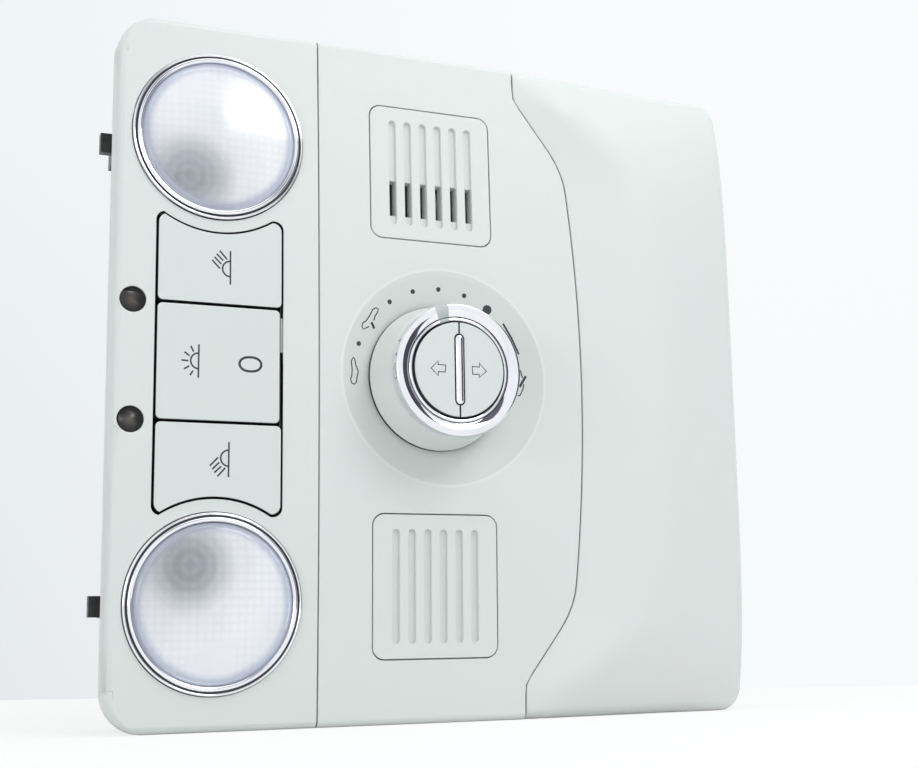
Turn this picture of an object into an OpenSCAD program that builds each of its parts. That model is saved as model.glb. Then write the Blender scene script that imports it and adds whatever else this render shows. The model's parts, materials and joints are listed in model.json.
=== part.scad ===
// Roof console light for a car: two reading lamps with push buttons and a courtesy-light
// rocker, two ambient lights, a roof dial with a split sunblind face, two grille inserts
// and a wave-shaped front cover on a ribbed rear carrier.
// Millimetres. X runs to the right across the face, Y away from the viewer, Z up.
// The console stands on its long lower edge; the origin is the middle of its base.

/* [Face] */
// Height of the face
face_h = 180; // [178:0.5:184]
// Reach of the clips on the left, from the line through the lamp centres
edge_left = 27.5; // [27:0.1:29]
// Left edge of the lamp panel, from the line through the lamp centres
panel_left = 25.8; // [25.4:0.1:26.6]
// Right edge, from the line through the lamp centres
edge_right = 154.5; // [153:0.5:160]
// Radius of the face's crown, top to bottom
crown_r = 2300; // [1800:50:4000]
// Rounding of the outer edges
edge_round = 2.2; // [1.5:0.1:3.5]
// Radius of the left corners, seen from the front
corner_r = 10.5; // [9:0.5:14]
// Thickness of the panels
skin = 2.4; // [2.2:0.1:2.8]
// Depth of the panels' side walls
shell_depth = 9; // [8.5:0.1:10]
// Seam between the lamp panel and the centre panel
split_x = 26.6; // [26.2:0.1:27.5]
// Width of the gaps between panels
seam_gap = 0.4; // [0.3:0.05:0.6]

/* [Reading lamps] */
// Distance of a lamp centre from the nearer end of the face
lamp_edge = 30.7; // [30:0.1:31.5]
// Outer diameter of the lamp rings
ring_d = 44; // [43:0.1:44.4]
// Width of the lamp rings
ring_w = 2.3; // [2:0.1:2.6]
// How far the lamp rings stand proud
ring_proud = 1.2; // [0.8:0.1:1.6]
// Radius of the lens dome
lens_dome_r = 75; // [60:1:120]
// Wall of the lenses
lens_t = 1.6; // [1.2:0.1:2]
// Depth of the reflector bowl behind the face
reflector_depth = 23; // [22:0.5:24]
// Distance of the bulb axis from the lamp centre, towards the buttons
bulb_offset = 8; // [6:0.5:9]
// Diameter of the bulbs
bulb_d = 8; // [7:0.2:8.4]

/* [Buttons] */
// Left side of the button opening
block_left = 15.8; // [15.4:0.1:16]
// Right side of the button opening
block_right = 17; // [16.6:0.1:17.4]
// How far the opening's corner peaks stay short of the lamp centres
block_tip = 21.2; // [20.8:0.1:21.8]
// Land between a lamp ring and the arc of the button opening
block_land = 3.4; // [3.2:0.1:3.8]
// Half height of the centre rocker, to the middle of its gap
rocker_half = 14.9; // [14:0.1:15.5]
// Gap round the buttons
button_gap = 0.5; // [0.45:0.05:0.6]
// How far the buttons stand proud of the face
button_proud = 0.5; // [0.3:0.1:0.8]
// Travel of the two push buttons
button_travel = 1.2; // [0.8:0.1:1.3]
// Depth of the rocker's pin behind the face
pin_y = 4.6; // [4.3:0.1:4.9]
// Diameter of the rocker's pin
pin_d = 2; // [1.6:0.1:2.2]
// Distance of the ambient lights from the lamp line
led_x = 21.2; // [20.8:0.1:21.4]
// Distance between the two ambient lights
led_pitch = 29.8; // [28:0.2:31]
// Diameter of the ambient lights
led_d = 6.4; // [5.6:0.1:6.6]

/* [Roof dial] */
// Dial centre, from the lamp line
dial_x = 59.6; // [59:0.1:60.4]
// Dial centre, above the middle of the face
dial_z = -0.7; // [-1.2:0.1:0.6]
// Diameter of the dish round the dial
dish_d = 57.8; // [55:0.2:59]
// Depth of the dish
dish_depth = 1.6; // [1.2:0.1:1.8]
// Diameter of the knob at its foot
knob_foot_d = 38.5; // [37:0.1:39.5]
// Diameter of the knob at its front
knob_front_d = 35.4; // [34.6:0.1:36]
// Height of the knob's grey skirt
skirt_h = 10.8; // [10.2:0.1:11.2]
// Height of the chrome ring's crest
crest_h = 14.6; // [14.2:0.1:15]
// Diameter of the split push face
push_d = 24; // [23:0.1:24.2]
// Travel of the two halves of the push face
push_travel = 0.8; // [0.5:0.1:1]
// Length of the bar between the halves
bar_l = 18.3; // [16:0.1:19]
// Width of that bar
bar_w = 2.3; // [2:0.1:2.6]
// Direction of the pointer at rest, from the right, turning upwards
pointer_deg = 107; // [100:1:112]
// Number of click notches round the rotor
notch_count = 24; // [18:1:30]

/* [Grilles] */
// Width of the grille inserts
grille_w = 35.2; // [34:0.1:36]
// Height of the grille inserts
grille_h = 37.4; // [36.6:0.1:38]
// Middle of the grilles, from the lamp line
grille_x = 58.4; // [57.8:0.1:59]
// Middle of a grille, from the middle of the face
grille_z = 55.2; // [54.8:0.1:56]
// Corner radius of the grille inserts
grille_r = 3.4; // [2.5:0.1:4]
// Number of slots in a grille
slot_count = 6; // [4:1:6]
// Distance from slot to slot
slot_pitch = 4.4; // [4:0.1:4.6]
// Width of a slot
slot_w = 2.05; // [1.6:0.05:2.3]
// Length of a slot
slot_l = 29.2; // [27:0.1:30]
// Depth of a blind slot
slot_depth = 0.9; // [0.7:0.1:1.1]
// Length of the open part of the microphone slots
open_l = 9.7; // [8:0.1:11]
// Distance of the open part from the slot's end
open_end = 2.6; // [2:0.1:3.5]

/* [Front cover] */
// Seam with the front cover at mid height, from the lamp line
wave_mid_x = 102.4; // [101.5:0.1:103]
// Seam with the front cover at the two ends
wave_end_x = 83.9; // [83:0.1:85]
// Radius of the long middle bow of the seam
wave_bow_r = 490; // [450:5:600]
// Length of the straight end of the seam
wave_end_l = 9.3; // [8.5:0.1:10]
// Rise of the seam's slanting part, across for each millimetre up
wave_slant = 0.75; // [0.72:0.01:0.78]
// Bulge of the cover at its crest
bulge = 8.3; // [6:0.1:9]
// Loss of bulge at the right edge
bulge_loss = 2.8; // [2:0.1:5]
// Slope of the cover as it leaves the seam
ramp = 0.17; // [0.14:0.01:0.2]
// Fall of the cover's upper edge for each millimetre to the right
edge_fall = 0.08; // [0.06:0.01:0.1]

/* [Rear carrier] */
// Depth of the carrier's back behind the face
back_y = 42; // [41:0.5:46]
// Thickness of the carrier's walls
wall = 2.6; // [2.2:0.1:3]
// Depth of the lamp housing's back
housing_y = 36; // [35.5:0.1:37]
// Diameter of the two roof screw holes
roof_hole_d = 4.6; // [4.2:0.1:5.2]
// Distance between the two roof screws
roof_pitch = 128; // [120:1:134]

/* [Hidden] */

half_h = face_h / 2;
lamp_z = half_h - lamp_edge;
block_half = lamp_z - block_tip;
lamp_r = ring_d / 2;
lens_r = lamp_r - ring_w;
// general fitting gap between pieces that are assembled and stay still
fit = 0.1;
// cuts run this far past the faces that they open
over = 1;

// front of the whole console, for centring it over its base
bar_proud = 0.6;
front_y = -crest_h - bar_proud;
mid_x = (edge_right - edge_left) / 2;
mid_y = (front_y + back_y) / 2;

shell_pale = [0.84, 0.87, 0.85];
button_pale = [0.82, 0.85, 0.83];
print_dark = [0.25, 0.26, 0.28];
chrome = [0.85, 0.86, 0.88];
clear_lens = [0.85, 0.88, 0.95];
mirror_silver = [0.8, 0.8, 0.82];
holder_white = [0.9, 0.9, 0.88];
plastic_black = [0.13, 0.13, 0.14];
board_green = [0.1, 0.35, 0.22];
brass = [0.75, 0.6, 0.3];
steel = [0.6, 0.61, 0.63];
carrier_grey = [0.3, 0.31, 0.32];

// upward from the base, centred over it
module placed() translate([-mid_x, -mid_y, half_h]) children();

// children are mirrored to the lower half when side is -1
module at_side(side) mirror([0, 0, side < 0 ? 1 : 0]) children();

// a profile of radius and depth turned round an axis that runs into the face
module turned(fn = 96) rotate([-90, 0, 0]) rotate_extrude($fn = fn) children();

// a cylinder that runs into the face, from depth y0 to depth y1
module bar_y(r, y0, y1, fn = 64)
  translate([0, y0, 0]) rotate([-90, 0, 0]) cylinder(r = r, h = y1 - y0, $fn = fn);

// a block from depth y0 to depth y1, centred on x and z
module block_y(w, h, y0, y1) translate([-w / 2, y0, -h / 2]) cube([w, y1 - y0, h]);

// an outline in x and z, run from depth y0 to depth y1
module run_y(y0, y1) translate([0, y1, 0]) rotate([90, 0, 0]) linear_extrude(y1 - y0) children();

// a rectangle with round corners, centred
module round_rect(w, h, r) {
  square([w - 2 * r, h], center = true);
  square([w, h - 2 * r], center = true);
  for (sx = [-1, 1], sz = [-1, 1])
    translate([sx * (w / 2 - r), sz * (h / 2 - r)]) circle(r = r, $fn = 48);
}

// depth of the crowned face at a height z
function crown(z) = crown_r - sqrt(crown_r * crown_r - z * z);

// how far in the rounding of an edge starts; the inner side of the wall keeps a rounding of its own
inner_round = 2.1;
function edge_start(inset) = max(edge_round, inset + inner_round);

// Section of a panel in depth and height, with its crown and its two rounded edges.
// An inset gives the inner side of the wall.
module face_section(inset, back) {
  start = edge_start(inset);
  r = start - inset;
  centre_z = half_h - start;
  reach = crown_r - start;
  centre_y = crown_r - sqrt(reach * reach - centre_z * centre_z);
  tangent_z = centre_z + r * centre_z / reach;
  intersection() {
    translate([crown_r, 0]) circle(r = crown_r - inset, $fn = 1440);
    translate([-over, -tangent_z]) square([back + over, 2 * tangent_z]);
  }
  intersection() {
    for (s = [-1, 1]) translate([centre_y, s * centre_z]) circle(r = r, $fn = 96);
    translate([0, -half_h]) square([back, face_h]);
  }
  translate([centre_y, -half_h + inset]) square([back - centre_y, 2 * (half_h - inset)]);
}

// a section in depth and height, run from x0 to x1
module run_x(x0, x1) translate([x0, 0, 0]) rotate([90, 0, 90]) linear_extrude(x1 - x0) children();

// what lies behind the plane that touches the crowned face at height z, moved forward by proud
module facing(z, proud) {
  turn = -atan(z / sqrt(crown_r * crown_r - z * z));
  translate([0, crown(z), z]) rotate([turn, 0, 0])
    translate([-face_h / 2, -proud, -half_h]) cube([2 * face_h, 4 * shell_depth, face_h]);
}

// Lamp panel

// rounds the left edge, following the crown
module left_rounding(inset) {
  start = edge_start(inset);
  r = start - inset;
  x0 = -panel_left + start;
  translate([0, crown_r, 0]) rotate([0, 90, 0]) rotate([0, 0, -93])
    rotate_extrude(angle = 6, $fn = 1440) {
      translate([crown_r - 2 * shell_depth, x0]) square([2 * shell_depth + over, 2 * split_x]);
      translate([crown_r - 2 * shell_depth, x0 - r]) square([2 * shell_depth - start, 2 * r]);
      translate([crown_r - start, x0]) circle(r = r, $fn = 96);
    }
}

// what the rounded left corners lose
module corner_trim(inset) {
  r = edge_start(inset) - inset;
  plan_r = corner_r - inset;
  centre_x = -panel_left + corner_r;
  centre_z = half_h - corner_r;
  tilt = asin((half_h - corner_r / 2) / crown_r);
  for (side = [-1, 1]) at_side(side) difference() {
    translate([centre_x - corner_r - over, -over, centre_z])
      cube([corner_r + over, shell_depth + 3 * over, corner_r + over]);
    translate([centre_x, crown(half_h - corner_r / 2) + inset, centre_z]) rotate([tilt, 0, 0])
      turned() {
        translate([0, -3 * over]) square([plan_r - r, shell_depth + 8 * over]);
        translate([plan_r - r, r]) circle(r = r, $fn = 96);
        translate([0, r]) square([plan_r, shell_depth + 4 * over]);
      }
  }
}

module lamp_shell(inset, back) difference() {
  intersection() {
    run_x(-panel_left + inset - over, split_x - seam_gap / 2 - inset) face_section(inset, back);
    left_rounding(inset);
  }
  corner_trim(inset);
}

// Opening for the buttons: its two ends are arcs round the lamps.
// A spread makes the opening larger all round.
module block_outline(spread) {
  corner = 2.3;
  arc_r = lamp_r + block_land - spread;
  left = block_left + spread;
  right = block_right + spread;
  high = block_half + spread;
  difference() {
    translate([-left, -high]) square([left + right, 2 * high]);
    for (s = [-1, 1]) translate([0, s * lamp_z]) circle(r = arc_r, $fn = 128);
    for (s = [-1, 1]) {
      translate([-left, s * high]) corner_bite(corner, 1, -s);
      translate([right, s * high]) corner_bite(corner, -1, -s);
    }
  }
}

// what a rounded outer corner loses; sx and sz point into the outline
module corner_bite(r, sx, sz) difference() {
  translate([sx * (r - over) / 2, sz * (r - over) / 2]) square([r + over, r + over], center = true);
  translate([sx * r, sz * r]) circle(r = r, $fn = 48);
}

boss_r = 2.6;
screw_r = 1.25;
pilot_r = 1.1;
// screw places of the lamp housing, beside the ends of the button opening
left_screw = [-led_x, block_half - 1.5];
right_screw = [block_right + 5.4, block_half - 2.9];
housing_screw_at = [for (p = [left_screw, right_screw], s = [-1, 1]) [p[0], s * p[1]]];
collar = 1.4;
ring_seat_gap = 0.35;

// the panel with a low rib in the gap on the rocker's right
module lamp_panel() color(shell_pale) {
  cut_lamp_panel();
  translate([block_right - side_rib_w, side_rib_y, side_rib_z[0]])
    cube([side_rib_w + over, skin - side_rib_y, side_rib_z[1] - side_rib_z[0]]);
}

module cut_lamp_panel() difference() {
  union() {
    difference() {
      lamp_shell(0, shell_depth);
      lamp_shell(skin, shell_depth + over);
    }
    run_y(skin + crown(half_h) - over, shell_depth) difference() {
      block_outline(collar);
      block_outline(0);
    }
    for (p = housing_screw_at) translate([p[0], 0, p[1]]) bar_y(boss_r, skin, shell_depth);
    for (s = [-1, 1]) translate([-led_x, 0, s * led_pitch / 2])
      bar_y(led_d / 2 + 1.3, skin, shell_depth - 3);
  }
  for (s = [-1, 1]) translate([0, 0, s * lamp_z])
    bar_y(lamp_r + ring_seat_gap, -over, shell_depth + over, 128);
  // room for the flanges of the lamp rings beside the left wall
  for (s = [-1, 1]) at_lamp(s) intersection() {
    bar_y(ring_flange_r + ring_seat_gap, ring_seat_y, shell_depth, 128);
    translate([-2 * panel_left, 0, -half_h]) cube([1.5 * panel_left, 2 * shell_depth, face_h]);
  }
  run_y(-over, shell_depth + over) block_outline(0);
  for (p = housing_screw_at) translate([p[0], 0, p[1]])
    bar_y(pilot_r, skin + over, shell_depth + over, 32);
  for (s = [-1, 1]) translate([-led_x, 0, s * led_pitch / 2])
    bar_y(led_d / 2 + fit, -over, shell_depth, 64);
}

// Reading lamps

ring_flange_r = lamp_r + 1.5;
ring_flange_t = 1.2;
outer_band = 0.62 * ring_w;
inner_band = ring_w - outer_band;
ring_seat_y = skin + 0.15;
lens_back = 3.4;

// children are drawn round a lamp's axis and laid in line with the crown there
module at_lamp(side) at_side(side) translate([0, crown(lamp_z), lamp_z])
  rotate([-asin(lamp_z / crown_r), 0, 0]) children();

// ring with two polished bands and a flange that bears on the back of the panel
module lamp_ring(side) color(chrome) at_lamp(side) turned(128) {
  wall_r = lens_r + inner_band;
  translate([lamp_r - outer_band / 2, -ring_proud + outer_band / 2])
    circle(d = outer_band, $fn = 48);
  translate([wall_r, -ring_proud + outer_band / 2])
    square([outer_band, ring_seat_y + ring_proud]);
  translate([lens_r + inner_band / 2, -ring_proud / 3]) circle(d = inner_band, $fn = 48);
  translate([lens_r, -ring_proud / 3]) square([ring_w, lens_back / 2 + ring_proud / 3]);
  translate([wall_r, ring_seat_y]) square([ring_flange_r - wall_r, ring_flange_t]);
}

// domed clear lens with a hidden rim that is held behind the ring
module lamp_lens(side) color(clear_lens) at_lamp(side) {
  rim_r = lens_r - fit;
  rise = lens_dome_r - sqrt(lens_dome_r * lens_dome_r - rim_r * rim_r);
  dome_y = -0.4 - rise;
  turned(128) {
    intersection() {
      difference() {
        translate([0, dome_y + lens_dome_r]) circle(r = lens_dome_r, $fn = 720);
        translate([0, dome_y + lens_dome_r]) circle(r = lens_dome_r - lens_t, $fn = 720);
      }
      translate([0, dome_y - over]) square([rim_r, lens_back + rise + over]);
    }
    translate([rim_r - lens_t, 0.6]) square([lens_t, lens_back - 0.6]);
    translate([rim_r - lens_t, lens_back / 2])
      square([lens_t + inner_band, lens_back / 2]);
  }
}

bowl_rim_y = ring_seat_y + ring_flange_t;
bowl_t = 1.1;
bowl_rim_t = 1.4;
bowl_rim_r = lamp_r - 0.4;
bowl_mouth_r = lens_r - 0.6;
// the bowl is nearly half a ball
bowl_r = (pow(bowl_mouth_r, 2) + pow(reflector_depth - bowl_rim_y, 2))
  / (2 * (reflector_depth - bowl_rim_y));
bowl_centre_y = reflector_depth - bowl_r;
neck_r = bulb_d / 2 + 2.6;
neck_t = 1.2;
neck_y = 27;
bulb_x = -1.5;

// reflector bowl with a rim behind the ring and a neck round the bulb
module reflector(side) color(mirror_silver) at_lamp(side) difference() {
  union() {
    intersection() {
      translate([0, bowl_centre_y, 0]) rotate([-90, 0, 0]) sphere(r = bowl_r, $fn = 128);
      bar_y(bowl_rim_r, bowl_rim_y, reflector_depth + over, 96);
    }
    bar_y(bowl_rim_r, bowl_rim_y, bowl_rim_y + bowl_rim_t, 96);
    translate([bulb_x, 0, -bulb_offset]) bar_y(neck_r + neck_t, reflector_depth - 7, neck_y - 1.4);
  }
  intersection() {
    translate([0, bowl_centre_y, 0]) rotate([-90, 0, 0]) sphere(r = bowl_r - bowl_t, $fn = 128);
    bar_y(bowl_rim_r - bowl_t, bowl_rim_y - over, reflector_depth, 96);
  }
  translate([bulb_x, 0, -bulb_offset]) bar_y(neck_r, bowl_rim_y + 6, neck_y + over);
}

holder_r = 7.4;
bulb_tip_y = 13;
bulb_base_y = 26;
bulb_end_y = 32;

module at_bulb(side) at_side(side) translate([bulb_x, 0, lamp_z - bulb_offset]) children();

// glass bulb with a flat pinched base
module bulb(side) color(clear_lens) at_bulb(side) {
  r = bulb_d / 2;
  turned(64) {
    intersection() {
      translate([0, bulb_tip_y + r]) circle(r = r, $fn = 64);
      translate([0, bulb_tip_y - over]) square([r + over, r + over]);
    }
    translate([0, bulb_tip_y + r]) square([r, bulb_base_y - bulb_tip_y - r]);
  }
  block_y(bulb_d * 0.9, bulb_d * 0.35, bulb_base_y - over, bulb_end_y);
}

// twist-in holder: plug with a slot for the bulb, flange and grip on the back
module bulb_holder(side) color(holder_white) at_bulb(side) difference() {
  union() {
    bar_y(holder_r, neck_y + fit, housing_y + over);
    bar_y(holder_r + 2.2, housing_y, housing_y + 2.2);
    block_y(13, 3.4, housing_y + 2, housing_y + 4.6);
  }
  bar_y(bulb_d / 2 + 0.15, neck_y - over, neck_y + 2.4);
  block_y(bulb_d * 0.9 + 2 * fit, bulb_d * 0.35 + 2 * fit, neck_y, bulb_end_y + fit);
}

// Buttons

cap_t = 2.2;
cap_wall = 1.5;
cap_back = 7.4;
stem_end = 6.1;
rocker_stem_end = 6.8;
stem_r = 2;

// a button: cap with walls behind it, its face in line with the crown at its middle height
module button_cap(low, high) {
  mid = (low + min(high, block_half)) / 2;
  difference() {
    intersection() {
      run_y(-2 * over, cap_back) button_outline(low, high, 0);
      facing(mid, button_proud);
    }
    run_y(cap_t + crown(mid) - button_proud, cap_back + over) button_outline(low, high, cap_wall);
  }
}

// outline of one button in the opening, between two heights
module button_outline(low, high, inset) intersection() {
  block_outline(-button_gap - inset);
  translate([-2 * block_left, low + inset]) square([4 * block_left, high - low - 2 * inset]);
}

push_low = rocker_half + button_gap / 2;
push_mid = (push_low + lamp_z - lamp_r - block_land) / 2;

module light_button(side) color(button_pale) at_side(side) {
  button_cap(push_low, block_half + over);
  translate([0, 0, push_mid]) bar_y(stem_r, cap_t / 2, stem_end, 32);
}

rocker_x = (block_right - block_left) / 2;
// the gap on the rocker's right is wider; a rib of the panel fills its upper part
side_gap = 0.4;
side_rib_z = [3.9, 12.7];
side_rib_w = button_gap + 0.12;
side_rib_y = 0.6;
switch_arm = (block_left + block_right) / 2 - 7.4;
rib_z = 11;
rib_t = 1.6;
pin_gap = 0.05;

module centre_rocker() color(button_pale) difference() {
  union() {
    button_cap(-rocker_half + button_gap / 2, rocker_half - button_gap / 2);
    for (s = [-1, 1]) translate([rocker_x, 0, s * rib_z])
      block_y(6, rib_t, cap_t / 2, pin_y + pin_d / 2 + 1.6);
    for (s = [-1, 1]) translate([rocker_x + s * switch_arm, 0, 0]) bar_y(stem_r, cap_t / 2, rocker_stem_end, 32);
  }
  translate([rocker_x, pin_y, -rib_z - rib_t])
    cylinder(d = pin_d + 2 * pin_gap, h = 2 * (rib_z + rib_t), $fn = 48);
  translate([block_right - button_gap - side_gap, -over - button_proud, -rocker_half])
    cube([1, cap_back + 2 * over, 2 * rocker_half]);
}

module rocker_pin() color(steel) translate([rocker_x, pin_y, -rib_z - rib_t])
  cylinder(d = pin_d, h = 2 * (rib_z + rib_t), $fn = 48);

frame_y = shell_depth + fit;
frame_t = 1.6;
ear_z = 7.5;
ear_t = 2;
switch_w = 6.2;
switch_y = 7.6;
board_y = 12;
board_t = 1.6;

// plate behind the buttons with the two ears that carry the rocker's pin
module button_frame() color(plastic_black) difference() {
  union() {
    run_y(frame_y, frame_y + frame_t) difference() {
      block_outline(collar - fit);
      for (s = [-1, 1]) {
        translate([0, s * push_mid]) square(switch_w + 1, center = true);
        translate([rocker_x + s * switch_arm, 0]) square(switch_w + 1, center = true);
      }
    }
    for (s = [-1, 1]) translate([rocker_x, 0, s * ear_z])
      block_y(4.4, ear_t, pin_y - pin_d / 2 - 1, frame_y + frame_t / 2);
  }
  translate([rocker_x, pin_y, -ear_z - ear_t])
    cylinder(d = pin_d + 2 * pin_gap, h = 2 * (ear_z + ear_t), $fn = 48);
}

// small dome switch: body on the board, plunger towards the button
module dome_switch() {
  block_y(switch_w, switch_w, switch_y + 0.8, board_y);
  bar_y(1.7, switch_y, switch_y + over, 32);
}

module push_switch(side) color(plastic_black) at_side(side)
  translate([0, 0, push_mid]) dome_switch();

module rocker_switches() color(plastic_black) for (s = [-1, 1])
  translate([rocker_x + s * switch_arm, 0, 0]) dome_switch();

board_x = (block_left + block_right) / 2 + 1.8;
board_z = block_half - 6.1;

module circuit_board() color(board_green) run_y(board_y, board_y + board_t) difference() {
  translate([rocker_x, 0]) round_rect(2 * board_x, 2 * board_z, 1.5);
  for (s = [-1, 1]) translate([board_x - 3.5, s * (board_z - 3.5)]) circle(d = 2.4, $fn = 32);
}

led_seat_y = shell_depth - 3;
// room between an ambient light's axis and the left wall
led_room = panel_left - skin - led_x;

// stepped lens pushed in from behind, up to its flange
module ambient_lens(side) color(print_dark) at_side(side)
  translate([-led_x, 0, led_pitch / 2]) difference() {
    union() {
      bar_y(led_d / 2, 0.5, led_seat_y + 1);
      intersection() {
        bar_y(led_d / 2 + 0.6, led_seat_y, led_seat_y + 1);
        translate([0.3 - led_room, 0, -led_d]) cube([2 * led_d, shell_depth, 2 * led_d]);
      }
    }
    bar_y(led_d / 2 - 1, 1.7, shell_depth);
  }

// two small light sources that close the backs of the ambient lenses
module ambient_lamps() color(holder_white) for (s = [-1, 1])
  translate([-led_x, 0, s * led_pitch / 2]) {
    block_y(2 * led_room - 0.4, 5.4, led_seat_y + 1, shell_depth);
    bar_y(1.2, led_seat_y - 0.5, led_seat_y + 2, 32);
  }

// Lamp housing

housing_x0 = 21.4;
housing_x1 = 23.2;
housing_z = half_h - 6.4;
housing_wall = 1.8;
housing_front = shell_depth + fit;
socket_w = 24;
socket_h = 11;
socket_wall = 1.6;
socket_depth = 11;
socket_mouth_y = 41;
contact_l = 6.4;
pin_rows = [-1.5, 1.5];
column_r = 4;
screw_head_r = 2.6;

module housing_outline(inset) translate([(housing_x1 - housing_x0) / 2, 0])
  round_rect(housing_x0 + housing_x1 - 2 * inset, 2 * (housing_z - inset), 6 - inset);

// open box behind the lamp panel, with screw columns and a plug socket on its back
module lamp_housing() color(holder_white) difference() {
  union() {
    difference() {
      run_y(housing_front, housing_y) housing_outline(0);
      run_y(housing_front - over, housing_y - housing_wall) housing_outline(housing_wall);
    }
    intersection() {
      for (p = housing_screw_at) translate([p[0], 0, p[1]])
        bar_y(column_r, housing_front, housing_y);
      run_y(housing_front - over, housing_y + over) housing_outline(0);
    }
    for (p = [[-16, 0], [17, 0], [0, -28], [0, 28]]) translate([p[0], 0, p[1]])
      bar_y(2, board_y + board_t, housing_y - housing_wall / 2, 32);
    block_y(socket_w, socket_h, socket_mouth_y - socket_depth - socket_wall, socket_mouth_y);
    for (s = [-1, 1]) translate([bulb_x, 0, s * (lamp_z - bulb_offset)]) difference() {
      bar_y(holder_r + 2, housing_y - 5, housing_y);
      bar_y(holder_r + 0.2, housing_y - 6, housing_y + over);
    }
  }
  for (s = [-1, 1]) translate([bulb_x, 0, s * (lamp_z - bulb_offset)])
    bar_y(holder_r + 0.2, housing_y - 6, housing_y + over);
  for (p = housing_screw_at) translate([p[0], 0, p[1]]) {
    bar_y(screw_head_r + 0.3, housing_front + 2, housing_y + over, 48);
    bar_y(screw_r + 0.2, housing_front - over, housing_front + 3, 32);
  }
  socket_space();
}

// two spring clips on the housing's side; their tips show beside the left edge
module edge_clips() color(plastic_black) {
  tip_x = -edge_left;
  clip_h = 5.2;
  for (s = [-1, 1]) translate([0, 0, s * (lamp_z + 0.2) - clip_h / 2]) {
    translate([tip_x, 16, 0]) cube([-housing_x0 - tip_x, 2.4, clip_h]);
    translate([-housing_x0 - 1.6, 16, 0]) cube([1.6, 15, clip_h]);
  }
}

// room for the plug
module socket_space() block_y(socket_w - 2 * socket_wall, socket_h - 2 * socket_wall,
  socket_mouth_y - socket_depth, socket_mouth_y + over);

module contact_pins() {
  n = 5;
  pitch = (socket_w - 2 * socket_wall) / n;
  for (row = pin_rows, i = [0:n - 1]) translate([(i - (n - 1) / 2) * pitch, 0, row])
    block_y(0.8, 0.8, socket_mouth_y - socket_depth, socket_mouth_y - socket_depth + contact_l);
}

module lamp_socket_pins() color(brass) contact_pins();

// a screw with a round head, its head's seat at depth y
module screw(y, length) {
  difference() {
    bar_y(screw_head_r - 0.2, y, y + 1.9, 48);
    block_y(0.7, 3, y + 1.1, y + 3);
    block_y(3, 0.7, y + 1.1, y + 3);
  }
  bar_y(pilot_r, y - length, y + 0.5, 32);
}

module housing_screws() color(steel) for (p = housing_screw_at)
  translate([p[0], 0, p[1]]) screw(housing_front + 2, 6.4);

// Centre panel

function soft_min(a, b, k) = min(a, b) - pow(max(k - abs(a - b), 0), 2) / (4 * k);
function soft_max(a, b, k) = -soft_min(-a, -b, k);
// the wave seam: a long bow at mid height, a slant above and below, straight ends
function wave_slant_x(z) = wave_end_x + wave_slant * (half_h - wave_end_l - abs(z));
function wave_bow_x(z) = wave_mid_x - z * z / (2 * wave_bow_r);
function wave_x(z) = soft_max(wave_end_x, soft_min(wave_bow_x(z), wave_slant_x(z), 3.8), 1.2);

wave_steps = 60;

// the side of the wave seam towards the lamps, moved left by shift
module wave_outline(x0, shift, inset) {
  high = half_h - inset;
  polygon(concat(
    [[x0, -high - over]],
    [for (i = [0:wave_steps]) let (z = high * (2 * i / wave_steps - 1))
      [wave_x(z) - shift, z * (i == 0 || i == wave_steps ? 1 + over / high : 1)]],
    [[x0, high + over]]
  ));
}

grille_gap = 0.35;
insert_lip = 1.1;
dial_hole_r = 15.2;
dish_x = dial_x + 2.2;
dish_z = dial_z + 0.7;
dish_r = (dish_d * dish_d / 4 + dish_depth * dish_depth) / (2 * dish_depth);
pad_y = 4.4;
dial_box_w = 44;
dial_screw_x = dial_box_w / 2 + 3.2;
dial_screw_z = 15;
dial_screw_at = [for (sx = [-1, 1], sz = [-1, 1]) [sx * dial_screw_x, sz * dial_screw_z]];
rail_screw_z = half_h - 7;
carrier_screw_at = [
  for (x = [split_x + 7.4, wave_end_x - 5.9], s = [-1, 1]) [x, s * rail_screw_z]
];

module centre_shell(inset, back) intersection() {
  run_x(split_x, wave_mid_x + over) face_section(inset, back);
  run_y(-2 * over, back + over)
    wave_outline(split_x + seam_gap / 2 + inset, seam_gap / 2 + 1.25 * inset, inset);
}

module insert_outline(spread)
  round_rect(grille_w + 2 * spread, grille_h + 2 * spread, grille_r + spread);

module grille_outline(spread, side) translate([grille_x, side * grille_z]) insert_outline(spread);

module centre_panel() color(shell_pale) difference() {
  union() {
    difference() {
      centre_shell(0, shell_depth);
      centre_shell(skin, shell_depth + over);
    }
    intersection() {
      translate([dish_x, 0, dish_z]) bar_y(dish_d / 2 + 1.5, skin - 0.5, pad_y, 96);
      centre_shell(over, shell_depth);
    }
    for (side = [-1, 1]) run_y(skin + 0.2, shell_depth - 2) difference() {
      grille_outline(insert_lip + 1.7, side);
      grille_outline(insert_lip + 0.3, side);
    }
    for (p = dial_screw_at) translate([dial_x + p[0], 0, dial_z + p[1]])
      bar_y(boss_r, skin, shell_depth - fit);
    for (p = carrier_screw_at) translate([p[0], 0, p[1]]) bar_y(boss_r, skin, shell_depth - fit);
  }
  translate([dish_x, dish_depth - dish_r, dish_z]) rotate([-90, 0, 0])
    sphere(r = dish_r, $fn = 360);
  translate([dial_x, 0, dial_z]) bar_y(dial_hole_r, -over, shell_depth, 96);
  for (side = [-1, 1]) run_y(-over, shell_depth) grille_outline(0, side);
  for (p = dial_screw_at) translate([dial_x + p[0], 0, dial_z + p[1]])
    bar_y(pilot_r, skin + over, shell_depth + over, 32);
  for (p = carrier_screw_at) translate([p[0], 0, p[1]])
    bar_y(pilot_r, skin + over, shell_depth + over, 32);
}

// Grille inserts

lip_t = 1.3;
lip_y = skin + fit;

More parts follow.
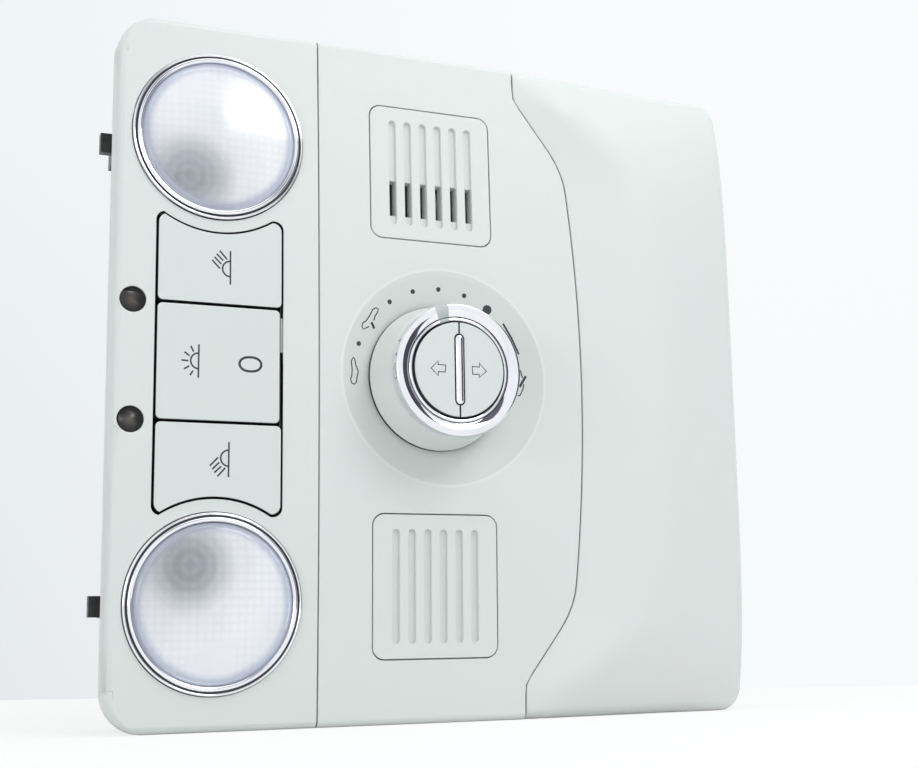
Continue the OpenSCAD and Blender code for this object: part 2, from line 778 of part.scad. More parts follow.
// a row of slots with round ends
module slot_row() for (i = [0:slot_count - 1])
  translate([(i - (slot_count - 1) / 2) * slot_pitch, 0]) {
    square([slot_w, slot_l - slot_w], center = true);
    for (s = [-1, 1]) translate([0, s * (slot_l - slot_w) / 2]) circle(d = slot_w, $fn = 32);
  }

// children are drawn flat and then laid in line with the crown at the grille's middle
module at_grille(side) at_side(side) translate([grille_x, crown(grille_z), grille_z])
  rotate([-asin(grille_z / crown_r), 0, 0]) children();

module insert_plate() difference() {
  union() {
    run_y(0, lip_y + lip_t) insert_outline(-grille_gap);
    run_y(lip_y, lip_y + lip_t) insert_outline(insert_lip);
  }
  run_y(-over, slot_depth) slot_row();
}

// the upper insert's slots are cut right through near the dial
module microphone_grille() color(shell_pale) at_grille(1) difference() {
  insert_plate();
  translate([0, 0, -slot_l / 2 + open_end + open_l / 2]) for (i = [0:slot_count - 1])
    translate([(i - (slot_count - 1) / 2) * slot_pitch, 0, 0])
      block_y(slot_w, open_l, -over, shell_depth);
}

module blind_grille() color(shell_pale) at_grille(-1) insert_plate();

microphone_z = -slot_l / 2 + open_end + open_l / 2;
microphone_y = lip_y + lip_t;
microphone_r = 4.9;
holder_w = (slot_count - 1) * slot_pitch + 8;
holder_h = open_l + 4.3;

module microphone_holder() color(plastic_black) at_grille(1) translate([0, 0, microphone_z])
  difference() {
    union() {
      block_y(holder_w, holder_h, microphone_y, microphone_y + 2);
      bar_y(microphone_r + 1.8, microphone_y, microphone_y + 8);
      for (s = [-1, 1]) translate([s * (holder_w / 2 - 3), 0, 0])
        block_y(3, holder_h - 4, microphone_y, microphone_y + 5);
    }
    bar_y(microphone_r + 0.1, microphone_y - over, microphone_y + 6.5);
  }

module microphone() color(steel) at_grille(1) translate([0, 0, microphone_z]) difference() {
  bar_y(microphone_r, microphone_y + 0.5, microphone_y + 6.5);
  bar_y(2.2, microphone_y - over, microphone_y + 1, 32);
}

// Front cover

crest_x = 120;
edge_drop_r = 3;
cover_corner_r = 7;
cover_rows = 30;
cover_cols = 18;
cover_skin = skin;

// right edge of the cover, rounded at its two corners
function cover_right(z) = let (over_z = max(abs(z) - (half_h - cover_corner_r), 0))
  edge_right - cover_corner_r + sqrt(cover_corner_r * cover_corner_r - over_z * over_z);
// how much a point at distance d from an edge falls back, for an edge of radius r
function edge_fallback(d, r) = d >= r ? 0 : r - sqrt(r * r - pow(r - max(d, 0), 2));
// Height of the cover towards the viewer: a pillow that leaves the seam on a ramp
function pillow(x, z) = let (far = max(x - crest_x, 0) / (edge_right - crest_x))
  -crown(half_h) - edge_fall * (x - wave_end_x)
  + (bulge - bulge_loss * far * far) * (1 - pow(abs(z) / half_h, 5));
function cover_face(x, z) =
  soft_min(pillow(x, z), -crown(z) - 0.25 + ramp * (x - wave_x(z)), 1.6);
function cover_rise(x, z) =
  let (face = cover_face(x, z), r = min(edge_drop_r, shell_depth - 0.6 + face))
  face - max(edge_fallback(cover_right(z) - x, r), edge_fallback(half_h - abs(z), r));

// rows and columns crowd towards the edges, where the cover rounds off
function crowd(t) = t - 0.11 * sin(360 * t);
function crowd_end(t) = 1 - pow(1 - t, 1.5);

function cover_point(i, j, inset) =
  let (
    z = (half_h - inset) * (2 * crowd(i / cover_rows) - 1),
    x0 = wave_x(z) + seam_gap / 2 + inset,
    x1 = cover_right(z) - inset,
    x = x0 + (x1 - x0) * crowd_end(j / cover_cols)
  ) [x, z];

// One closed skin: outer face, inner face, and side walls down to the back edge
module front_cover() color(shell_pale) {
  n = cover_rows;
  m = cover_cols;
  w = m + 1;
  count = (n + 1) * w;
  outer = [for (i = [0:n], j = [0:m]) let (p = cover_point(i, j, 0))
    [p[0], -cover_rise(p[0], p[1]), p[1]]];
  inner = [for (i = [0:n], j = [0:m]) let (p = cover_point(i, j, cover_skin))
    [p[0], min(-cover_face(p[0], p[1]) + cover_skin, shell_depth - 0.2), p[1]]];
  loop = concat([for (j = [0:m - 1]) j], [for (i = [0:n - 1]) i * w + m],
    [for (j = [0:m - 1]) n * w + m - j], [for (i = [0:n - 1]) (n - i) * w]);
  size = len(loop);
  outer_foot = [for (k = loop) [outer[k][0], shell_depth, outer[k][2]]];
  inner_foot = [for (k = loop) [inner[k][0], shell_depth, inner[k][2]]];
  a = 2 * count;
  b = a + size;
  polyhedron(
    points = concat(outer, inner, outer_foot, inner_foot),
    faces = concat(
      [for (i = [0:n - 1], j = [0:m - 1]) let (k = i * w + j) [k, k + w, k + 1]],
      [for (i = [0:n - 1], j = [0:m - 1]) let (k = i * w + j) [k + 1, k + w, k + w + 1]],
      [for (i = [0:n - 1], j = [0:m - 1]) let (k = count + i * w + j) [k, k + 1, k + w]],
      [for (i = [0:n - 1], j = [0:m - 1]) let (k = count + i * w + j) [k + 1, k + w + 1, k + w]],
      [for (k = [0:size - 1]) let (q = (k + 1) % size) [loop[k], loop[q], a + q, a + k]],
      [for (k = [0:size - 1]) let (q = (k + 1) % size)
        [count + loop[q], count + loop[k], b + k, b + q]],
      [for (k = [0:size - 1]) let (q = (k + 1) % size) [a + k, a + q, b + q, b + k]]
    )
  );
}

// Roof dial

module at_dial() translate([dial_x, 0, dial_z]) children();

foot_y = 0.3;
tube_in = push_d / 2 + 0.7;
tube_t = 1.6;
tube_end = 12;
tube_out = tube_in + tube_t;
skirt_t = 1.5;

// tapered grey skirt with the inner tube that turns in the switch housing
module knob_skirt() color(shell_pale) at_dial() turned(128) {
  foot_r = knob_foot_d / 2;
  front_r = knob_front_d / 2;
  polygon([
    [tube_in, -skirt_h], [front_r, -skirt_h], [foot_r - 0.3, foot_y - 1], [foot_r, foot_y],
    [foot_r - skirt_t, foot_y], [front_r - skirt_t, -skirt_h + 1.8],
    [tube_out, -skirt_h + 1.8], [tube_out, tube_end], [tube_in, tube_end]
  ]);
}

pointer_w = 3.2;
ring_outer_r = knob_front_d / 2 - 0.1;

// polished ring: broad outer band, groove, narrow inner band
module knob_ring_profile() {
  broad = 1.75;
  narrow = 0.75;
  translate([ring_outer_r - broad, -crest_h + broad]) circle(r = broad, $fn = 64);
  translate([ring_outer_r - 2 * broad, -crest_h + broad])
    square([2 * broad, crest_h - broad - skirt_h]);
  translate([tube_in, -crest_h + 1.5 + narrow])
    square([ring_outer_r - broad - tube_in, crest_h - 1.5 - narrow - skirt_h]);
  translate([tube_in + narrow, -crest_h + 1.5 + narrow]) circle(r = narrow, $fn = 48);
}

module pointer_block(spread) rotate([0, -pointer_deg, 0])
  translate([(tube_in + ring_outer_r) / 2, 0, 0])
    block_y(ring_outer_r - tube_in + 2 * over, pointer_w + 2 * spread, -crest_h - over, -skirt_h);

module knob_ring() color(chrome) at_dial() difference() {
  turned(128) knob_ring_profile();
  pointer_block(0.05);
}

// grey mark let into the ring
module knob_pointer() color([0.62, 0.64, 0.65]) at_dial() intersection() {
  turned(128) knob_ring_profile();
  pointer_block(0);
}

rotor_r = 17.4;
rotor_y0 = 8.4;
cavity_r = rotor_r + 0.5;
cavity_y = 13;

// ring with click notches, fixed on the knob's tube
module dial_rotor() color(plastic_black) at_dial() difference() {
  bar_y(rotor_r, rotor_y0, tube_end, 128);
  bar_y(tube_out + 0.02, rotor_y0 - over, tube_end + over, 128);
  for (i = [0:notch_count - 1]) rotate([0, i * 360 / notch_count, 0])
    translate([rotor_r + 0.35, 0, 0]) bar_y(0.9, rotor_y0 - over, tube_end + over, 24);
}

core_r = tube_in - 0.35;
core_front = crest_h - 5;
stem_hole_r = 2.25;
stem_x = 6;

// fixed core inside the turning knob: it carries the bar and guides both halves
module dial_core() color(plastic_black) at_dial() difference() {
  bar_y(core_r, -core_front, cavity_y, 96);
  for (s = [-1, 1]) translate([s * stem_x, 0, 0]) bar_y(stem_hole_r, -core_front - over, -1, 48);
}

push_front = crest_h;
half_t = 3.1;
face_seam = 0.4;

// one half of the push face, with a guide stem
module shade_button(side) color(button_pale) at_dial() {
  difference() {
    bar_y(push_d / 2, -push_front, -push_front + half_t, 96);
    translate([-side * push_d / 2, 0, 0])
      block_y(push_d + face_seam, push_d + 2, -push_front - over, -core_front);
    run_y(-push_front - over, -core_front) bar_outline(0.25);
  }
  translate([side * stem_x, 0, 0]) bar_y(stem_hole_r - 0.05, -push_front + 1, -3.5, 48);
}

module bar_outline(spread) {
  square([bar_w + 2 * spread, bar_l - bar_w], center = true);
  for (s = [-1, 1]) translate([0, s * (bar_l - bar_w) / 2])
    circle(d = bar_w + 2 * spread, $fn = 48);
}

// polished bar between the halves, with a half-round crest
module shade_bar() color(chrome) at_dial() {
  crest_y = front_y + bar_w / 2;
  run_y(crest_y, -core_front) bar_outline(0);
  translate([0, crest_y, -(bar_l - bar_w) / 2]) cylinder(d = bar_w, h = bar_l - bar_w, $fn = 48);
  for (s = [-1, 1]) translate([0, crest_y, s * (bar_l - bar_w) / 2]) sphere(d = bar_w, $fn = 48);
}

dial_box_h = 42;
dial_box_y0 = pad_y + fit;
dial_box_y1 = 33;
ear_y1 = shell_depth + 2;

// closed switch box behind the dial, with ears, a bearing for the knob and a plug socket
module dial_switch_housing() color(plastic_black) at_dial() difference() {
  union() {
    run_y(dial_box_y0, dial_box_y1) round_rect(dial_box_w, dial_box_h, 3);
    for (p = dial_screw_at) translate([p[0], 0, p[1]]) bar_y(4, shell_depth, ear_y1, 48);
    for (sz = [-1, 1]) translate([0, 0, sz * dial_screw_z])
      block_y(2 * dial_screw_x, 8, shell_depth, ear_y1);
    translate([0, 0, 8]) block_y(socket_w, socket_h, dial_box_y1 - over, socket_mouth_y);
    for (i = [-1:1]) translate([i * 12, 0, -10]) block_y(1.4, 18, dial_box_y1 - over, dial_box_y1 + 2);
  }
  bar_y(tube_out + 0.3, 0, cavity_y, 96);
  bar_y(cavity_r, rotor_y0 - 0.6, cavity_y, 96);
  for (p = dial_screw_at) translate([p[0], 0, p[1]]) bar_y(screw_r + 0.2, 0, ear_y1 + over, 32);
  translate([0, 0, 8]) socket_space();
}

module dial_socket_pins() color(brass) at_dial() translate([0, 0, 8]) contact_pins();

module dial_screws() color(steel) at_dial() for (p = dial_screw_at)
  translate([p[0], 0, p[1]]) screw(ear_y1, 7);

// Rear carrier

carrier_x0 = -14;
carrier_x1 = edge_right - 5.5;
bay_z = half_h - 4.6;
web_1 = split_x + 1;
web_2 = wave_mid_x - 11;
rail_lip = 5;
rail_lip_y = shell_depth + 2.4;
roof_x = (web_2 + carrier_x1) / 2 + 2;

module bay(x0, x1, inset) translate([(x0 + x1) / 2, 0])
  round_rect(x1 - x0, 2 * (bay_z - inset), 3);

// Ribbed frame: base and top rails, three webs, front lips and two roof screw towers
module rear_carrier() color(carrier_grey) difference() {
  union() {
    difference() {
      run_y(shell_depth, back_y) translate([(carrier_x0 + carrier_x1) / 2, 0])
        square([carrier_x1 - carrier_x0, face_h], center = true);
      run_y(shell_depth - over, back_y + over) {
        translate([carrier_x0 - over, -bay_z]) square([web_1 - carrier_x0 + over, 2 * bay_z]);
        bay(web_1 + wall, web_2, rail_lip);
        bay(web_2 + wall, carrier_x1 - wall, rail_lip);
      }
      run_y(rail_lip_y, back_y + over) {
        bay(web_1 + wall, web_2, 0);
        bay(web_2 + wall, carrier_x1 - wall, 0);
      }
    }
    for (s = [-1, 1]) translate([roof_x, 0, s * roof_pitch / 2]) {
      bar_y(6, shell_depth, back_y - 12);
      block_y(carrier_x1 - web_2 - wall, wall, shell_depth, back_y - 12);
    }
    translate([(web_1 + web_2) / 2 + wall / 2, 0, 0]) for (s = [-1, 1])
      translate([0, 0, s * half_h / 3]) block_y(web_2 - web_1, wall, back_y - 8, back_y);
  }
  for (s = [-1, 1]) translate([roof_x, 0, s * roof_pitch / 2]) {
    bar_y(roof_hole_d / 2, shell_depth - over, back_y, 64);
    bar_y(4.6, shell_depth - over, shell_depth + 12, 64);
  }
  for (p = carrier_screw_at) translate([p[0], 0, p[1]])
    bar_y(screw_r + 0.2, shell_depth - over, rail_lip_y + over, 32);
  for (s = [-1, 1]) translate([web_1 + wall / 2, 0, s * (half_h - 32)])
    block_y(wall + 2, 26, back_y - 14, back_y + over);
}

module carrier_screws() color(steel) for (p = carrier_screw_at)
  translate([p[0], 0, p[1]]) screw(rail_lip_y, 6);

placed() lamp_panel();
placed() centre_panel();
placed() front_cover();
placed() lamp_ring(1);  // upper_lamp_ring
placed() lamp_ring(-1);  // lower_lamp_ring
placed() lamp_lens(1);  // upper_lamp_lens
placed() lamp_lens(-1);  // lower_lamp_lens
placed() reflector(1);  // upper_reflector
placed() reflector(-1);  // lower_reflector
placed() bulb(1);  // upper_bulb
placed() bulb(-1);  // lower_bulb
placed() bulb_holder(1);  // upper_bulb_holder
placed() bulb_holder(-1);  // lower_bulb_holder
placed() light_button(1);  // upper_light_button
placed() light_button(-1);  // lower_light_button
placed() centre_rocker();
placed() rocker_pin();
placed() button_frame();
placed() ambient_lens(1);  // upper_ambient_lens
placed() ambient_lens(-1);  // lower_ambient_lens
placed() ambient_lamps();
placed() circuit_board();
placed() push_switch(1);  // upper_push_switch
placed() push_switch(-1);  // lower_push_switch
placed() rocker_switches();
placed() lamp_housing();
placed() edge_clips();
placed() lamp_socket_pins();
placed() housing_screws();
placed() knob_skirt();
placed() knob_ring();
placed() knob_pointer();
placed() dial_rotor();
placed() dial_core();
placed() shade_button(-1);  // left_shade_button
placed() shade_button(1);  // right_shade_button
placed() shade_bar();
placed() dial_switch_housing();
placed() dial_socket_pins();
placed() dial_screws();
placed() microphone_grille();
placed() blind_grille();
placed() microphone_holder();
placed() microphone();
placed() rear_carrier();
placed() carrier_screws();
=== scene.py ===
import bmesh
import bpy
import json
import math
from mathutils import Matrix, Vector

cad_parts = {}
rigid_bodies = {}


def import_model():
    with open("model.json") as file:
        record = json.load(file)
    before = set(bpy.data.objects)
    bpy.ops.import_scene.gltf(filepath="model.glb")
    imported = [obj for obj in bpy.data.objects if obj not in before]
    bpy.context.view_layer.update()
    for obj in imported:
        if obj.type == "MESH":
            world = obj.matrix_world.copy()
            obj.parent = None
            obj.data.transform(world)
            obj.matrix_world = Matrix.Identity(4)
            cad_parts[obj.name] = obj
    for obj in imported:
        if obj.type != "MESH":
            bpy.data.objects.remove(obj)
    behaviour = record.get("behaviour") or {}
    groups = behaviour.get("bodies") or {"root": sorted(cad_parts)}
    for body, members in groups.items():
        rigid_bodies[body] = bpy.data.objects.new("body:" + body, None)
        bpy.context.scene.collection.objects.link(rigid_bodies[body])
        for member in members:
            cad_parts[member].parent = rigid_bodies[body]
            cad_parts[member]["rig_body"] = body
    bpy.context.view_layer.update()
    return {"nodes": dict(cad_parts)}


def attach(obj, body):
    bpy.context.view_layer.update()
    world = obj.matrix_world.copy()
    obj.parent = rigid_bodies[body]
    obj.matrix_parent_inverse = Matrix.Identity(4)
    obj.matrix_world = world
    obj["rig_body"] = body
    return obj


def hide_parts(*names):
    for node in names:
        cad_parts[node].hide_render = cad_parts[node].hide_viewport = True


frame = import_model()
nodes = frame["nodes"]

# The pieces are shaped in millimetres from the middle of the lamps' line: x to the right,
# y back from the face, z up from mid height. FROM_MM puts them in the frame's metres.
MIDDLE_X, FACE_Y, HALF_HIGH = 63.5, 13.4, 90.0
FROM_MM = Matrix.Scale(0.001, 4) @ Matrix.Translation((-MIDDLE_X, -FACE_Y, HALF_HIGH))
TO_MM = FROM_MM.inverted()

CROWN_R = 2300.0
SHELL_BACK = 9.0
SKIN = 2.4
EDGE_RIGHT = 154.5
CORNER_R = 7.0
LAMP_Z = 59.3
LENS_R = 18.4
BULB_SEEN_UPPER = (-7.8, 47.5)
BULB_SEEN_LOWER = (-6.4, -50.1)
BULB_NECK = (-1.5, LAMP_Z - 8)
LATTICE = 2.0
AMBIENT = (-21.2, 14.9)
LIGHT_BUTTON_Z = 26.6
BUTTONS_PROUD = 0.5
PANEL_SEAM_X = 38.3
SEAM_END_X = 83.9
GRILLE = (58.4, 55.2)
DIAL = (59.6, -0.7)
DISH = (61.8, 0.0)
DISH_R = 261.8
DISH_RIM, DISH_FLOOR, DISH_DEEP = 28.9, 18.2, 1.6
KNOB_FOOT = 19.6
SHADE_FACE_Y = -14.6

scene = bpy.context.scene


# Faces of the panels


def crown(z):
    return CROWN_R - math.sqrt(CROWN_R**2 - z**2)


def shallow_dish(x, z):
    """The plain hollow round the dial in the CAD panel."""
    away = (x - DISH[0]) ** 2 + (z - DISH[1]) ** 2
    return DISH_DEEP - DISH_R + math.sqrt(max(DISH_R**2 - away, 0))


def dish_level(x, z):
    """Centre panel's face: the hollow round the dial falls evenly from its rim."""
    away = math.hypot(x - DISH[0], z - DISH[1])
    fall = DISH_DEEP * min((DISH_RIM - away) / (DISH_RIM - DISH_FLOOR), 1)
    return max(crown(z), fall)


def light_button_level(x, z):
    mid = LIGHT_BUTTON_Z
    return crown(mid) + (abs(z) - mid) * mid / CROWN_R - BUTTONS_PROUD


def soft_min(a, b, k):
    return min(a, b) - max(k - abs(a - b), 0) ** 2 / (4 * k)


def soft_max(a, b, k):
    return -soft_min(-a, -b, k)


def wave_x(z):
    """The wave seam between the centre panel and the cover."""
    bow = 102.4 - z * z / 980
    slant = SEAM_END_X + 0.75 * (HALF_HIGH - 9.3 - abs(z))
    return soft_max(SEAM_END_X, soft_min(bow, slant, 3.8), 1.2)


def cover_right(z):
    """The cover's right edge, with its rounded corners."""
    over = max(abs(z) - (HALF_HIGH - CORNER_R), 0)
    return EDGE_RIGHT - CORNER_R + math.sqrt(max(CORNER_R**2 - over * over, 0))


def cover_face(x, z):
    """The cover's pillow, and the ramp that leads to it from the seam."""
    far = max(x - 120, 0) / (EDGE_RIGHT - 120)
    pillow = -crown(HALF_HIGH) - 0.08 * (x - SEAM_END_X)
    pillow += (8.3 - 2.8 * far * far) * (1 - (abs(z) / HALF_HIGH) ** 5)
    ramp = -crown(z) - 0.25 + 0.17 * (x - wave_x(z))
    return soft_min(pillow, ramp, 1.6)


def edge_fallback(d, r):
    """How far an edge of radius r falls back at a distance d from the outline."""
    return 0 if d >= r else r - math.sqrt(r * r - (r - max(d, 0)) ** 2)


def cover_rise(x, z):
    face = cover_face(x, z)
    r = min(3, SHELL_BACK - 0.6 + face)
    return face - max(
        edge_fallback(cover_right(z) - x, r), edge_fallback(HALF_HIGH - abs(z), r)
    )


# Finishes


def srgb(*levels):
    """Colour from screen levels of 0 to 255."""
    return tuple(
        c / 12.92 if c <= 0.04045 else ((c + 0.055) / 1.055) ** 2.4
        for c in (level / 255 for level in levels)
    ) + (1.0,)


class Finish:
    """A material whose patterns all run in Object coordinates."""

    def __init__(self, name, colour, roughness, metallic=0.0):
        self.material = bpy.data.materials.new(name)
        self.material.use_nodes = True
        self.tree = self.material.node_tree
        self.shader = self.tree.nodes["Principled BSDF"]
        self.output = self.tree.nodes["Material Output"]
        self.coordinates = self.tree.nodes.new("ShaderNodeTexCoord").outputs["Object"]
        self.colour = colour
        self.height = None
        self.shader.inputs["Base Color"].default_value = colour
        self.shader.inputs["Roughness"].default_value = roughness
        self.shader.inputs["Metallic"].default_value = metallic

    def node(self, kind, inputs=(), **settings):
        made = self.tree.nodes.new("ShaderNode" + kind)
        for key, value in settings.items():
            setattr(made, key, value)
        for key, value in dict(inputs).items():
            if isinstance(value, bpy.types.NodeSocket):
                self.tree.links.new(value, made.inputs[key])
            else:
                made.inputs[key].default_value = value
        return made

    def link(self, socket, key):
        self.tree.links.new(socket, self.shader.inputs[key])

    def set(self, **levels):
        for key, value in levels.items():
            self.shader.inputs[key.replace("_", " ")].default_value = value
        return self

    def placed(self, scale=(1, 1, 1), turn=(0, 0, 0)):
        spot = self.node("Mapping", {"Vector": self.coordinates, "Scale": scale, "Rotation": turn})
        return spot.outputs["Vector"]

    def noise(self, scale, detail=3.0, roughness=0.5, stretch=(1, 1, 1), turn=(0, 0, 0)):
        made = self.node(
            "TexNoise",
            {"Vector": self.placed(stretch, turn), "Scale": scale, "Detail": detail,
             "Roughness": roughness},
        )
        return made.outputs["Fac"]

    def between(self, value, low, high, from_low=0.3, from_high=0.7):
        made = self.node(
            "MapRange",
            {"Value": value, "From Min": from_low, "From Max": from_high,
             "To Min": low, "To Max": high},
        )
        return made.outputs["Result"]

    def mixed(self, fac, first, second):
        made = self.node("Mix", data_type="RGBA", blend_type="MIX")
        for key, value in ((0, fac), (6, first), (7, second)):
            if isinstance(value, bpy.types.NodeSocket):
                self.tree.links.new(value, made.inputs[key])
            else:
                made.inputs[key].default_value = value
        return made.outputs[2]

    def maths(self, operation, first, second=0.0):
        return self.node("Math", {0: first, 1: second}, operation=operation).outputs[0]

    def from_axis(self, x, z, mirrored=True):
        """Distance in mm from an axis through the face, or from it and its mirror image."""
        spot = self.node("SeparateXYZ", {"Vector": self.placed()})
        dx = self.maths("SUBTRACT", self.maths("MULTIPLY", spot.outputs["X"], 1000), x - MIDDLE_X)
        up = self.maths("SUBTRACT", self.maths("MULTIPLY", spot.outputs["Z"], 1000), HALF_HIGH)
        if mirrored:
            up = self.maths("ABSOLUTE", up)
        dz = self.maths("SUBTRACT", up, z)
        squares = self.maths("ADD", self.maths("MULTIPLY", dx, dx), self.maths("MULTIPLY", dz, dz))
        return self.maths("SQRT", squares)

    def varied(self, other, scale, amount=1.0, **pattern):
        """Colour that wanders between the base colour and another."""
        fac = self.between(self.noise(scale, **pattern), 0.0, amount)
        self.link(self.mixed(fac, self.colour, other), "Base Color")
        return self

    def worn(self, low, high, scale, **pattern):
        """Roughness that wanders between two levels."""
        self.link(self.between(self.noise(scale, **pattern), low, high), "Roughness")
        return self

    def relief(self, height, depth_mm, strength=1.0):
        """Bump on top of what is already there, of a depth in millimetres."""
        inputs = {"Height": height, "Distance": depth_mm / 1000, "Strength": strength}
        if self.height is not None:
            inputs["Normal"] = self.height
        self.height = self.node("Bump", inputs).outputs["Normal"]
        self.link(self.height, "Normal")
        return self

    def soft_edges(self, radius_mm):
        """Rounds sharp edges a little when light falls on them."""
        self.height = self.node("Bevel", {"Radius": radius_mm / 1000}, samples=6).outputs["Normal"]
        self.link(self.height, "Normal")
        return self

    def shown_as(self, share, first, second):
        """Sends a mix of two shaders to the output."""
        both = self.node("MixShader", {0: share, 1: first.outputs[0], 2: second.outputs[0]})
        self.tree.links.new(both.outputs[0], self.output.inputs["Surface"])


def moulded(name, colour, other, roughness, grain_mm=0.012, grain=1900, edges=0.0):
    """Moulded plastic: fine grain, faint flow marks and a slow drift of tone."""
    made = Finish(name, colour, roughness)
    if edges:
        made.soft_edges(edges)
    made.varied(other, 22, 1.0, detail=4, roughness=0.6)
    made.worn(roughness - 0.05, roughness + 0.06, 160, detail=3)
    made.relief(made.noise(grain, detail=2, roughness=0.45), grain_mm, 0.55)
    made.relief(made.noise(grain / 14, detail=2), grain_mm * 1.4, 0.25)
    return made


PALE = srgb(222, 228, 224)
PALE_WARM = srgb(225, 228, 226)
shell_plastic = moulded("shell_plastic", PALE, PALE_WARM, 0.46, edges=0.25)
dial_panel = moulded("dial_panel", PALE, PALE_WARM, 0.46, edges=0.25)
# painted shade darkens the hollow round the dial, and a painted highlight lightens a thin line
# along its rim
from_dish = dial_panel.from_axis(DISH[0], DISH[1], mirrored=False)
hollow_shade_mask = dial_panel.between(from_dish, 1.0, 0.0, DISH_RIM - 0.35, DISH_RIM + 0.05)
rim_painted_highlight = dial_panel.maths(
    "MULTIPLY",
    dial_panel.between(from_dish, 0.0, 0.7, DISH_RIM - 0.1, DISH_RIM + 0.2),
    dial_panel.between(from_dish, 1.0, 0.0, DISH_RIM + 0.3, DISH_RIM + 0.8),
)
plain_tone = dial_panel.shader.inputs["Base Color"].links[0].from_socket
hollow_painted_shade = dial_panel.mixed(hollow_shade_mask, plain_tone, srgb(215, 220, 217))
dial_panel.link(dial_panel.mixed(rim_painted_highlight, hollow_painted_shade, srgb(232, 238, 235)), "Base Color")
button_plastic = moulded(
    "button_plastic", srgb(218, 225, 222), srgb(221, 225, 223), 0.4, 0.008, 2300
)
# gap_shade and groove_shade are painted shade: the walls deep in gaps and grooves are pale plastic
# or polished metal, darkened for the shade that falls there
gap_shade = moulded("gap_shade", srgb(58, 66, 66), srgb(48, 54, 55), 0.6, 0.01, 1900)
groove_shade = moulded("groove_shade", srgb(104, 108, 114), srgb(92, 96, 102), 0.5, 0.006, 1900)
housing_plastic = moulded(
    "housing_plastic", srgb(222, 222, 214), srgb(212, 211, 202), 0.5, 0.02, 1100, 0.3
)
black_plastic = moulded("black_plastic", srgb(34, 34, 36), srgb(44, 44, 45), 0.5, 0.02, 1300, 0.25)
carrier_plastic = moulded(
    "carrier_plastic", srgb(74, 76, 78), srgb(84, 86, 87), 0.55, 0.025, 900, 0.3
)
pointer_plastic = moulded(
    "pointer_plastic", srgb(196, 203, 201), srgb(186, 193, 192), 0.5, 0.01, 2200
)


def polished(name):
    """Bright plating: clean, with faint waviness and hair-fine rub marks."""
    made = Finish(name, srgb(246, 246, 248), 0.07, 1.0)
    made.varied(srgb(232, 232, 240), 120, 0.6)
    made.worn(0.045, 0.1, 420, detail=4)
    made.relief(made.noise(160, detail=1), 0.012, 0.25)
    made.relief(made.noise(5200, detail=1, stretch=(1, 1, 0.12)), 0.0012, 0.2)
    return made


trim_chrome = polished("trim_chrome")


def lattice(made, pitch_mm):
    """Square pillows of a given pitch across the face, as height from 0 to 1."""
    spot = made.node("SeparateXYZ", {"Vector": made.placed()})
    waves = []
    for axis in ("X", "Z"):
        turns = made.maths("MULTIPLY", spot.outputs[axis], math.pi * 1000 / pitch_mm)
        waves.append(made.maths("ABSOLUTE", made.maths("SINE", turns)))
    return made.maths("MULTIPLY", waves[0], waves[1])


def clear(made, haze_and_painted_light, most):
    """Lets a finish be seen through, but for its share of haze and painted light and its glances.
    """
    glances = made.node("Fresnel", {"IOR": 1.35}).outputs[0]
    share = made.maths("MINIMUM", made.maths("ADD", haze_and_painted_light, glances), most)
    see_through = made.node("BsdfTransparent", {"Color": srgb(253, 253, 254)})
    made.shown_as(share, see_through, made.shader)
    return made


def bulb_clear_glass():
    """Clear glass of the bulbs, with a trace of haze."""
    made = Finish("bulb_glass", srgb(238, 240, 240), 0.1)
    made.relief(made.noise(140, detail=1), 0.02, 0.2)
    made.set(Coat_Weight=0.7, Coat_Roughness=0.03)
    made.varied(srgb(244, 246, 250), 90, 1.0)
    return clear(made, made.between(made.noise(60, detail=2), 0.035, 0.065), 0.9)


def lamp_lens():
    """Clear lens with a hazy blue rim; the grey rings over the bulb are a painted reflection of
    its dark neck, and the lens grows brighter away from the bulb by painted light.
    """
    made = Finish("lamp_lens", srgb(250, 251, 253), 0.12)
    made.relief(made.noise(140, detail=1), 0.02, 0.15)
    made.set(Coat_Weight=0.7, Coat_Roughness=0.18)
    from_bulb = made.maths(
        "MINIMUM",
        made.from_axis(*BULB_SEEN_UPPER, mirrored=False),
        made.from_axis(*BULB_SEEN_LOWER, mirrored=False),
    )
    at_rim = made.between(made.from_axis(0, LAMP_Z), 0.0, 1.0, LENS_R - 1.5, LENS_R)
    # painted reflection: grey rings where the bulb's dark neck is seen through the lens
    rings = made.maths("SINE", made.maths("MULTIPLY", from_bulb, 2.4))
    near = made.between(from_bulb, 0.8, 0.0, 4, 12)
    near = made.maths("MULTIPLY", near, made.between(rings, 0.8, 1.0, -1, 1))
    tone = made.mixed(made.between(made.noise(90), 0.0, 1.0), made.colour, srgb(243, 245, 250))
    tone = made.mixed(near, tone, srgb(168, 174, 184))
    made.link(made.mixed(at_rim, tone, srgb(212, 218, 234)), "Base Color")
    streaks = made.noise(95, detail=2, stretch=(1, 1, 0.2), turn=(0, -0.9, 0))
    # painted light: the lens's pale share grows away from the bulb, standing in for the bright
    # reflector behind it
    haze_and_painted_light = made.between(from_bulb, 0.42, 0.88, 6, 21)
    haze_and_painted_light = made.maths("ADD", haze_and_painted_light, made.between(streaks, -0.1, 0.1))
    grid = made.between(lattice(made, LATTICE), 0.95, 1.03, 0, 1)
    haze_and_painted_light = made.maths(
        "MAXIMUM", made.maths("MULTIPLY", haze_and_painted_light, grid), made.maths("MULTIPLY", at_rim, 0.62)
    )
    return clear(made, haze_and_painted_light, 0.92)


lamp_glass = lamp_lens()
bulb_glass = bulb_clear_glass()
ambient_glass = Finish("ambient_glass", srgb(30, 28, 28), 0.32)
lit_core = ambient_glass.between(ambient_glass.from_axis(*AMBIENT), 1.0, 0.0, 0.3, 1.9)
ambient_glass.link(
    ambient_glass.mixed(lit_core, srgb(34, 33, 33), srgb(88, 83, 75)), "Base Color"
)
ambient_glass.relief(ambient_glass.noise(700, detail=2), 0.02, 0.3).set(Coat_Weight=0.15)

